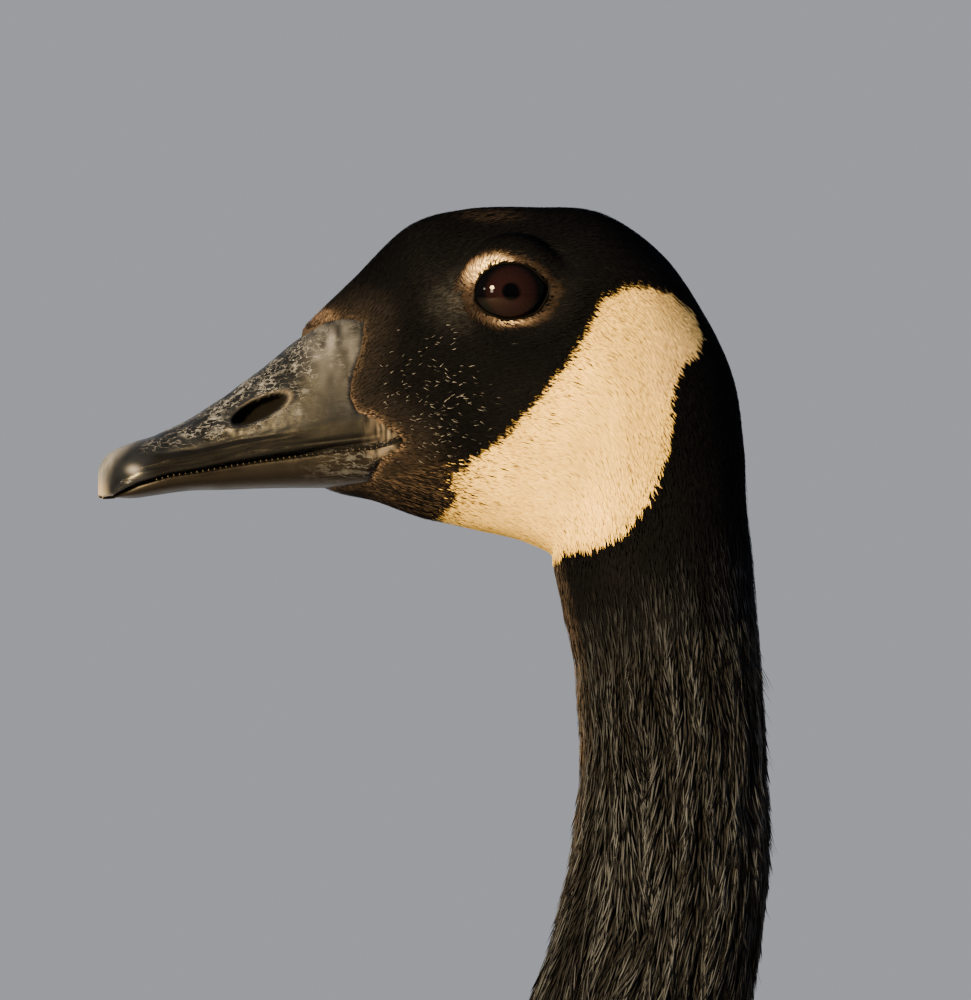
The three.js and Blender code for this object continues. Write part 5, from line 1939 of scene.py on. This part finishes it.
@dataclass(frozen=True)
class Tier:
    """One row of wing feathers across the wing, with stations given for its upper and lower edge."""

    name: str
    count: int
    roots: Pair
    tips: Pair
    rise: float
    dark: float
    lowest: float = 0.98


WING_TIERS = [
    Tier("front coverts", 17, (-0.3, -0.3), (0.6, 0.5), 1.1, 0.0),
    Tier("small coverts", 16, (0.0, 0.0), (1.05, 0.9), 1.4, 0.05),
    Tier("lesser coverts", 15, (0.45, 0.35), (1.65, 1.4), 1.7, 0.1),
    Tier("upper coverts", 14, (1.0, 0.8), (2.35, 2.0), 1.9, 0.15),
    Tier("middle coverts", 13, (1.6, 1.3), (3.15, 2.65), 2.1, 0.2),
    Tier("lower coverts", 12, (2.3, 1.9), (4.05, 3.4), 2.3, 0.26),
    Tier("long coverts", 11, (3.1, 2.6), (5.05, 4.25), 2.5, 0.32),
    Tier("greater coverts", 10, (4.1, 3.4), (6.15, 5.2), 2.7, 0.38),
    Tier("shoulder feathers", 9, (5.1, 4.3), (7.35, 6.3), 2.9, 0.45),
    Tier("long shoulder feathers", 8, (6.1, 5.2), (8.5, 7.4), 3.0, 0.55),
    Tier("secondaries", 7, (7.0, 6.1), (9.6, 8.6), 3.1, 0.7),
    Tier("tertials", 5, (7.9, 7.2), (10.6, 10.0), 3.3, 0.85, 0.82),
]


@dataclass
class Wings:
    """Both folded wings: tiers of coverts and long feathers, with the primaries behind."""

    overlap: float = 1.34
    roll: float = 0.05
    sunk: float = 3.0
    highest: float = 0.02
    primaries: int = 8
    primary_half: float = 8.6
    layer: float = 1.35
    bake_columns: int = 13
    bake_patch: float = 0.07
    bake_primaries: int = 150
    bake_flesh: int = 168

    def build(self) -> None:
        """Make the left wing and its mirror image."""
        wing = self.flesh().joined(self.tiers()).joined(self.flight())
        finish = QUILL_FINISH.material
        for side in Side:
            wing.on(side).build(f"wing_feathers_{side.tag}", finish, Slot.WING, f"wing_{side.tag}")

    def patch(self, number: Array) -> Array:
        """The middle of each feather's place on the bake map."""
        places = (number % self.bake_columns, number // self.bake_columns)
        return np.stack([(place + 0.5) / self.bake_columns for place in places], axis=-1)

    def flesh(self) -> Shape:
        """The wing's inner shell, which the feathers root in.

        Returns:
            The shape.
        """
        ends, columns = 9.2, 24
        at = np.linspace(0.1, ends, 60)
        grid_at, share = np.meshgrid(at, np.linspace(0.02, 0.98, columns), indexing="ij")
        angle = wing_angle(grid_at, share)
        top = MANTLE.point(grid_at, angle, -0.4)
        under = MANTLE.point(grid_at, angle, -3.5 - 4 * np.sin(np.pi * share) * (1 - grid_at / ends))
        tint = np.broadcast_to(DARK_BROWN, (1, *grid_at.shape, 3))
        flat = np.stack([share, grid_at / ends * 0.8], axis=-1)
        faces = np.stack([top, under])[None]
        bake = self.patch(np.array([self.bake_flesh]))
        return plates(faces, flat, self.bake_patch, bake, {"tint": tint, "rim": tint})

    def tiers(self) -> Shape:
        """All tiers of coverts, secondaries and tertials.

        Returns:
            The shape.
        """
        shapes: list[Shape] = []
        draw = np.random.default_rng(31)
        number = 0
        for tier in WING_TIERS:
            count = tier.count
            down = (np.arange(count) + 0.5) / count
            share = self.highest + (tier.lowest - self.highest) * down
            root = tier.roots[0] + (tier.roots[1] - tier.roots[0]) * down
            tip = tier.tips[0] + (tier.tips[1] - tier.tips[0]) * down + draw.normal(0, 0.06, count)
            middle = (root + tip) / 2
            breadth = wing_angle(middle, tier.lowest) - wing_angle(middle, self.highest)
            _, around, _ = MANTLE.slopes(middle, wing_angle(middle, share))
            half = np.linalg.norm(around, axis=-1) * breadth / count / 2 * self.overlap
            chance = 0.88 + 0.24 * draw.random(count)[:, None]
            ends = Roots(tip, wing_angle(tip, share) + draw.normal(0, 0.012, count))
            shapes.append(Feathers(
                MANTLE, Roots(root, wing_angle(root, share)), ends,
                half=half * (0.94 + 0.12 * draw.random(count)),
                low=np.full(count, -self.sunk), high=tier.rise + draw.normal(0, 0.15, count),
                roll=self.roll + draw.normal(0, 0.02, count), rim=BUFF * (1 - 0.35 * tier.dark) * chance,
                tint=(BROWN * (1 - tier.dark) + DARK_BROWN * tier.dark) * chance,
                bake=self.patch(number + np.arange(count)), patch=self.bake_patch,
            ).shape(LONG_VANE))
            LOG.info("%s: %d feathers on each wing", tier.name, count)
            number += count
        return reduce(Shape.joined, shapes)

    def flight(self) -> Shape:
        """The primaries, in layers under the tertials, out to the wing's tip.

        Returns:
            The shape.
        """
        count = self.primaries
        down = np.arange(count) / (count - 1)
        root, tip = 8.4 - 1.2 * down, 12 - 1.7 * down
        lift = -np.arange(count) * self.layer
        roots = Roots(root, wing_angle(root, 0.55 + 0.4 * down))
        return Feathers(
            MANTLE, roots, Roots(tip, wing_angle(tip, 0.5 + 0.18 * down)),
            half=np.full(count, self.primary_half), low=lift - self.sunk, high=lift + 2.2,
            roll=np.zeros(count), tint=np.tile(QUILL_BLACK, (count, 1)),
            rim=np.tile(QUILL_BLACK * 1.6, (count, 1)),
            bake=self.patch(self.bake_primaries + np.arange(count)), patch=self.bake_patch,
        ).shape(LONG_VANE)


@dataclass
class Tail:
    """A fan of tail feathers: its middle feather's root, length and slope, and how the pairs spread."""

    name: str = "tail_fan"
    nodes: tuple[str, ...] = ("tail",)
    slot: Slot = Slot.BLACK
    shade: Triple = (21, 20, 20)
    rim: float = 1.9
    root: Pair = (512, 246)
    length: float = 138
    fan: Pair = (1, 10)
    roots: Pair = (12.7, 24)
    half: float = 13.5
    slope: float = -0.24
    pairs: int = 8
    layer: float = 1.1
    rounding: float = 0.026
    uneven: float = 0.0

    def build(self) -> None:
        """Make the fan."""
        feathers = [self.feather(-1, 1, 0.0, 0.0, 0)]
        for pair in range(self.pairs):
            share = pair / (self.pairs - 1)
            turn = self.fan[0] + (self.fan[1] - self.fan[0]) * share
            out = self.roots[0] + (self.roots[1] - self.roots[0]) * share
            for side in (1, -1):
                feathers.append(self.feather(pair, side, turn, out, len(feathers)))
        fan = reduce(Shape.joined, feathers)
        fan.build(self.name, QUILL_FINISH.material, self.slot, *self.nodes)

    def feather(self, layer: int, side: int, turn: float, out: float, number: int) -> Shape:
        """One tail feather.

        Args:
            layer: its layer below the middle pair.
            side: 1 on the left, -1 on the right.
            turn: how far it turns outwards, in degrees.
            out: how far from the middle its root is.
            number: its place on the bake map.

        Returns:
            The feather as a closed plate.
        """
        flat = LONG_VANE.flat()
        run, over = flat[..., 1], flat[..., 0] * 2 - 1
        across = over * np.array(LONG_VANE.widths)[:, None] * self.half
        ahead, aside = math.cos(math.radians(turn)), math.sin(math.radians(turn))
        far = run * self.length * (1 - self.rounding * max(layer, 0) - self.uneven * (number * 0.618 % 1))
        x = side * (out + far * aside + across * ahead)
        back = self.root[0] + far * ahead - across * aside
        lift = self.root[1] + self.slope * far - self.layer * layer + 0.5 * (1 - over**2)
        thin = LONG_VANE.thickness * (1 - 0.7 * np.abs(over)) / 2
        faces = np.stack([np.stack([x, back, lift + way * thin], axis=-1) for way in (side, -side)])[None]
        grid = np.ones((1, *run.shape, 1))
        marks = {"tint": tone(*self.shade) * grid, "rim": tone(*self.shade) * self.rim * grid}
        return plates(faces, flat, 0.15, np.array([[(number % 5 + 0.5) / 5, (number // 5 + 0.5) / 5]]), marks)


TAIL_COVERTS = Tail(
    name="tail_coverts", nodes=(), slot=Slot.BODY, shade=(222, 221, 219), rim=1, root=(559, 249.5), length=55,
    fan=(2, 21), roots=(3.4, 19), half=5.8, slope=-0.41, layer=0.85, uneven=0.13,
)


@dataclass
class Legs:
    """Both legs: the feathered thigh, the bare shank, the webbed foot and its claws."""

    out: float = 47
    stride: float = 7
    hip: Pair = (252, 205)
    knee: Pair = (262, 178)
    ankle: Pair = (292, 98)
    toe_root: Pair = (266, 15)
    thigh_half: tuple[float, ...] = (42, 37, 27, 13, 8.2)
    toes: tuple[tuple[str, float, float, float], ...] = (
        ("inner", 62, -24, 4.4),
        ("middle", 84, 3, 5.2),
        ("outer", 76, 30, 4.6),
    )
    claw: Triple = (13, 2.9, 5.2)
    web_thickness: float = 1.3
    web_hollow: float = 0.2

    def build(self) -> None:
        """Make both legs, the right one a little behind."""
        for side in Side:
            stride = -self.stride * side.value
            self.thigh(side, stride)
            self.shank(side, stride)
            self.foot(side, stride)

    @staticmethod
    def limb(rows: Array, outs: Array | float) -> Hull:
        """A round limb as a hull, from (back, up, half) rows along it.

        Args:
            rows: The sections.
            outs: How far from the middle of the bird each one is.

        Returns:
            The hull.
        """
        line = rows[:, :2]
        ahead = unit(np.gradient(line, axis=0))
        aside = np.stack([-ahead[:, 1], ahead[:, 0]], axis=-1) * rows[:, 2:3]
        return Hull(np.column_stack([line + aside, line - aside, rows[:, 2]]), outs)

    @staticmethod
    def surface(hull: Hull, last: float, count: int, sides: int, lift: float = 0.0) -> Array:
        """Rings of points over a limb."""
        return hull.plain(*np.meshgrid(np.linspace(0, last, count), circle(sides), indexing="ij"), lift)

    def thigh(self, side: Side, stride: float) -> None:
        """The thigh, with feathers lying down it.

        Args:
            side: The side of the leg.
            stride: How far the foot stands back, in mm.
        """
        hip, knee = np.add(self.hip, (stride * 0.3, 0)), np.add(self.knee, (stride * 0.6, 0))
        ankle = self.ankle[0] + stride
        calf = ((knee[0] + ankle) / 2, 142), (knee[0] * 0.15 + ankle * 0.85, 116), (ankle - 2, 106)
        path = np.array([hip, knee, *calf])
        rows = np.vstack([np.column_stack([path, self.thigh_half]), (ankle - 0.5, 97, 8)])
        hull = self.limb(rows, np.append(np.linspace(self.out + 4, self.out, len(path)), self.out))
        rings = self.surface(hull, 4, 40, 40, -1.6)
        skin = tube(rings, tint=np.broadcast_to(BROWN, rings.shape))
        skin.on(side).build(f"thigh_skin_{side.tag}", SKIN_FINISH.material, Slot.BODY, f"thigh_{side.tag}")
        self.thigh_coat(hull).on(side).build(f"thigh_plumage_{side.tag}", VANE_FINISH.material, Slot.BODY)

    @staticmethod
    def thigh_coat(hull: Hull) -> Shape:
        """The feathers over a left thigh.

        Args:
            hull: The thigh's surface.

        Returns:
            The shape.
        """

        def spacing(at: Array, _angle: Array) -> Array:
            """The distance between feathers, less down the leg."""
            return np.interp(at, [0, 2, 3, 4], [6.5, 5.2, 3.4, 2.2])

        roots = scatter(hull, (0.02, 3.95), spacing, 77)
        count = len(roots.at)
        draw = np.random.default_rng(78)
        along, _, _ = hull.slopes(roots.at, roots.angle)
        size = spacing(roots.at, roots.angle)
        reach = size * 3.4 / np.linalg.norm(along, axis=-1)
        step = np.minimum(reach, 4.25 + 0.3 * draw.random(count) - roots.at)
        tip = Roots(roots.at + step, roots.angle + draw.normal(0, 0.05, count))
        shade = blend(BROWN * 1.1, BREAST, smooth(0.6, 3.6, roots.at) * 0.5)
        shade = shade * (0.8 + 0.4 * draw.random((count, 1)))
        feathers = Feathers(
            hull, roots, tip, half=size * 0.68, low=np.full(count, -1.8),
            high=0.1 + 0.35 * draw.random(count), roll=draw.normal(0, 0.03, count), tint=shade,
            rim=shade * 2.3, bake=unwrapped(roots, (0, 4)),
        )
        return feathers.shape(VaneForm(camber=0.12, thickness=0.22, lean=0.6))

    def shank(self, side: Side, stride: float) -> None:
        """The bare shank from the ankle to the toes' root, with its scutes.

        Args:
            side: The side of the leg.
            stride: How far the foot stands back, in mm.
        """
        back, root = self.ankle[0] + stride, self.toe_root[0] + stride

        def between(share: float) -> float:
            """How far back a share of the way from the ankle to the toes' root is."""
            return back + (root - back) * share

        rows = np.array([
            (back - 1.8, 112, 6.2), (back - 1.5, 105.4, 6.6), (back, 98, 7.8), (back - 1, 91, 6.9),
            (between(0.25), 78, 5.2), (between(0.55), 54, 4.9), (between(0.85), 28, 5.6),
            (root + 1.5, 18.6, 6.4), (root + 0.6, 11, 6.6),
        ])
        hull = self.limb(rows, self.out)
        hull.rows[:, 4] *= 0.8
        rings = self.surface(hull, 8, 80, 40)
        skin = tube(rings, tint=self.skin_tint(rings))
        skin.on(side).build(f"shank_skin_{side.tag}", LEG_FINISH.material, Slot.SKIN, f"shank_{side.tag}")
        lines = []
        for k in range(14):
            at = np.linspace(1.1 + 0.05 * (k % 2), 7.6, 50)
            angle = np.full(50, 2 * np.pi * k / 14)
            points, (_, _, outward) = hull.plain(at, angle), hull.slopes(at, angle)
            size = np.interp(at, [1, 2, 4, 7], [1.15, 1.2, 0.9, 1.1])
            lines.append((points * (side.value, 1, 1), outward * (side.value, 1, 1), size))
        scutes = PlateRow(spacing=2.4, size=(2.55, 2.5, 0.32), tint=(16, 17, 20), seed=4)
        scutes.build(f"shank_scutes_{side.tag}", lines, LEG_FINISH, Slot.SKIN)

    @staticmethod
    def skin_tint(rings: Array) -> Array:
        """The dark grey of the bare leg, a little lighter in places."""
        share = np.clip(0.4 + 0.4 * wander(rings, 4, 41) + 0.2 * wander(rings, 1.2, 42), 0, 1)
        return blend(tone(8, 9, 11), tone(20, 21, 24), share)

    def spine(self, length: float, splay: float, root: float) -> Array:
        """The middle line of a toe, from its root forwards.

        Args:
            length: Its length.
            splay: Its angle from straight ahead.
            root: Where it starts.

        Returns:
            The points.
        """
        turn = math.radians(splay)
        heights = np.array([7.5, 6, 5.1, 4.2])
        run = length * np.arange(len(heights)) / (len(heights) - 1)
        return np.column_stack([self.out + run * math.sin(turn), root - run * math.cos(turn), heights])

    @staticmethod
    def toe(spine: Array, half: float) -> Array:
        """Rings of a toe: flat below, with swollen joints and fine wrinkles.

        Args:
            spine: Its middle line.
            half: Its half width.

        Returns:
            The shape.
        """
        at = np.linspace(0, len(spine) - 1, 90)
        centre = through(spine, at)
        across = unit(np.cross(through(spine, at + 0.05) - through(spine, at - 0.05), [0, 0, 1]))
        share = at / at[-1]
        swell = 1 + 0.14 * np.cos(at * 2 * np.pi) + 0.02 * np.cos(at * 2 * np.pi * 9)
        wide = half * swell * (1.05 - 0.33 * share)
        wide *= np.sqrt(np.clip(1 - ((share - 0.93) / 0.075).clip(0, 1) ** 2 * 0.75, 0, 1))
        angle = circle(28)
        c, s = np.cos(angle), np.sin(angle)
        up = np.maximum(centre[:, 2:3] + np.where(c > 0, c * wide[:, None], c * centre[:, 2:3]), 0.05)
        flat = centre[:, None, :2] + across[:, None, :2] * (wide[:, None] * s)[..., None]
        return np.concatenate([flat, up[..., None]], axis=-1)

    def web(self, first: Array, second: Array) -> Shape:
        """The skin between two toes, slack and hollow at its front edge.

        Args:
            first: One toe.
            second: The next toe.

        Returns:
            The shape.
        """
        rows, columns = 36, 22
        side = np.linspace(0, 1, columns)
        at = 0.2 + np.linspace(0, 1, rows)[:, None] * 2.55 * (1 - self.web_hollow * np.sin(np.pi * side))
        a, b = through(first, at), through(second, at)
        top = a + (b - a) * side[None, :, None]
        sag = np.abs(2 * side - 1)
        low = top * (1, 1, 0) + (0, 0, 0.06)
        top[..., 2] = self.web_thickness * (1 + 0.8 * sag**2) + 0.35 * wander(top, 5, 44) * (1 - sag)
        flat = np.stack(np.meshgrid(side, np.linspace(0, 1, rows)), axis=-1)
        marks = {"tint": self.skin_tint(top)[None]}
        made = plates(np.stack([top, low])[None], flat, 0.2, np.array([[0.5, 0.5]]), marks)
        return Shape(made.places, made.faces, {"tint": made.marks["tint"]})

    def foot(self, side: Side, stride: float) -> None:
        """The foot: palm, toes, web, scutes and claws.

        Args:
            side: The side of the leg.
            stride: How far the foot stands back, in mm.
        """
        root = self.toe_root[0] + stride
        spines = [self.spine(length, splay, root) for _, length, splay, _ in self.toes]
        hind = np.array([
            (self.out - 2, root + 4, 12), (self.out - 4, root + 12, 9),
            (self.out - 5.5, root + 19, 6.2), (self.out - 6.5, root + 24, 4.2),
        ])
        palm_rows = np.array([(root + 1.5, 15.5, 6), (root + 0.6, 11.5, 6.9), (root - 1.5, 6.8, 7.4)])
        palm = self.surface(self.limb(palm_rows, self.out), 2, 20, 36)
        palm[..., 2] = np.maximum(palm[..., 2], 0.05)
        halves = [half for _, _, _, half in self.toes]
        parts = [palm, *(self.toe(spine, half) for spine, half in zip(spines, halves)), self.toe(hind, 3.1)]
        shapes = [tube(rings, tint=self.skin_tint(rings)) for rings in parts]
        shapes += [self.web(first, second) for first, second in zip(spines, spines[1:])]
        foot = reduce(Shape.joined, shapes)
        foot.on(side).build(f"foot_skin_{side.tag}", LEG_FINISH.material, Slot.SKIN, f"foot_{side.tag}")
        lines = []
        for spine, half in zip(spines, halves):
            at = np.linspace(0.1, 2.75, 50)
            swell = 1 + 0.14 * np.cos(at * 2 * np.pi)
            points = through(spine, at) + np.outer(half * (1.05 - 0.11 * at) * swell, (0, 0, 1))
            size = half / 5 * (1.1 - 0.12 * at)
            lines.append((points * (side.value, 1, 1), np.tile((0, 0, 1), (50, 1)), size))
        scutes = PlateRow(spacing=1.9, size=(2.0, 6.6, 0.5), tint=(17, 18, 21), seed=6)
        scutes.build(f"toe_scutes_{side.tag}", lines, LEG_FINISH, Slot.SKIN)
        for (name, *_), spine in zip(self.toes, spines):
            self.nail(f"claw_{name}", spine, 1.0, side)
        self.nail("claw_hind", hind, 0.62, side)

    def nail(self, name: str, spine: Array, size: float, side: Side) -> None:
        """A claw on the end of a toe, bent down to the floor.

        Args:
            name: The name of the piece.
            spine: The toe's middle line.
            size: Its half width.
            side: The side of the leg.
        """
        length, half, height = (value * size for value in self.claw)
        tip = spine[-1]
        ahead = unit((tip - spine[-2]) * (1, 1, 0))
        across = np.array([-ahead[1], ahead[0], 0])
        run = np.linspace(-0.12, 1, 26)[:, None]
        wide = half * np.sqrt(np.clip(1 - run.clip(0, 1) ** 2.2, 0.02, 1))
        low = np.maximum(tip[2] - height * 0.75 * (0.8 + 0.5 * run), 0.15)
        top = low + height * np.clip(1 - run.clip(0, 1) ** 1.8 * 0.8, 0.2, 1)
        angle = circle(24)[None]
        flat = (tip + ahead * (0.3 + run * length))[:, None] + across * (wide * np.sin(angle))[..., None]
        rings = np.stack([flat[..., 0], flat[..., 1], low + (top - low) * (1 + np.cos(angle)) / 2], axis=-1)
        tint = blend(tone(13, 13, 15), tone(52, 51, 52), run * np.ones_like(angle) * 0.5)
        claw = tube(rings, tint=tint)
        claw.on(side).build(f"{name}_horn_{side.tag}", CLAW_FINISH.material, Slot.CLAW, f"{name}_{side.tag}")


@dataclass(frozen=True)
class Studio:
    """The floor, the lights and the camera at the photograph's angle."""

    picture: tuple[int, int] = (971, 1000)
    pixels_per_mm: float = 4.6
    bill_tip_column: float = 98
    crown_row: float = 207
    crown_up: float = 740
    distance: float = 3.0
    backdrop: Triple = (162, 164, 170)

    def build(self) -> None:
        """Set up the whole studio."""
        self.camera()
        self.floor()
        self.lights()

    def camera(self) -> None:
        """A level telephoto view of the bird's left side, framed as the photograph is."""
        centre_back = (self.picture[0] / 2 - self.bill_tip_column) / self.pixels_per_mm
        centre_up = self.crown_up - (self.picture[1] / 2 - self.crown_row) / self.pixels_per_mm
        data = bpy.data.cameras.new("camera")
        data.sensor_fit = "VERTICAL"
        data.sensor_height = 24
        data.lens = 24 * self.distance / (self.picture[1] / self.pixels_per_mm * MM)
        data.clip_end = 60
        eye = bpy.data.objects.new("camera", data)
        eye.location = (self.distance, (centre_back + SHIFT) * MM, centre_up * MM)
        eye.rotation_euler = (math.pi / 2, 0, math.pi / 2)
        bpy.context.scene.collection.objects.link(eye)
        bpy.context.scene.camera = eye

    @staticmethod
    def floor() -> None:
        """A plain pale floor."""
        mesh = bpy.data.meshes.new("floor")
        reach = 6
        corners = [(-reach, -reach, 0), (reach, -reach, 0), (reach, reach, 0), (-reach, reach, 0)]
        mesh.from_pydata(corners, [], [(0, 1, 2, 3)])
        made = bpy.data.materials.new("PaleFloor")
        made.use_nodes = True
        shader = made.node_tree.nodes["Principled BSDF"]
        shader.inputs["Base Color"].default_value = (*tone(196, 196, 196), 1)
        shader.inputs["Roughness"].default_value = 0.85
        mesh.materials.append(made)
        plane = bpy.data.objects.new("floor", mesh)
        bpy.context.scene.collection.objects.link(plane)

    def lights(self) -> None:
        """A low warm key from the bird's front left, a soft light from above and a rim from behind."""
        world = bpy.data.worlds.new("studio")
        world.use_nodes = True
        world.node_tree.nodes["Background"].inputs["Color"].default_value = (*tone(*self.backdrop), 1)
        bpy.context.scene.world = world
        lamps = (
            ("key", (2.0, -1.75, 1.12), (0, -0.25, 0.62), 0.42, 320, (1.0, 0.68, 0.285)),
            ("glint", (2.0, -1.75, 0.72), (0, -0.25, 0.62), 0.3, 18, (1.0, 0.8, 0.56)),
            ("front_glint", (1.5, -2.5, 1.0), (0, -0.25, 0.62), 0.22, 8, (1.0, 0.85, 0.66)),
            ("above", (0.5, 0.3, 2.9), (0, -0.05, 0.5), 2.2, 16, (0.78, 0.88, 1.0)),
            ("sky", (-2.4, -0.7, 1.3), (0, -0.1, 0.6), 1.8, 16, (0.5, 0.72, 1.0)),
            ("rim", (-1.6, 1.3, 1.5), (0, -0.1, 0.55), 1.0, 14, (0.9, 0.95, 1.0)),
        )
        for name, place, aim, size, power, colour in lamps:
            data = bpy.data.lights.new(name, "AREA")
            data.shape = "DISK"
            data.size = size
            data.energy = power
            data.color = colour
            lamp = bpy.data.objects.new(name, data)
            lamp.location = place
            lamp.visible_glossy = name in ("key", "glint", "front_glint")
            x, y, z = (a - b for a, b in zip(place, aim))
            lamp.rotation_euler = (math.atan2(math.hypot(x, y), z), 0, math.atan2(y, x) + math.pi / 2)
            bpy.context.scene.collection.objects.link(lamp)


def main() -> None:
    """Build the goose and its studio; each piece's triangles are logged as it is made."""
    logging.basicConfig(level=logging.INFO, format="%(message)s")
    Studio().build()
    for part in (Skin(), Eyes(), Bill(), HeadCoat(), BodyCoat(), Wings(), Tail(), TAIL_COVERTS, Legs()):
        LOG.info("building %s", type(part).__name__)
        part.build()


if __name__ == "__main__":
    main()
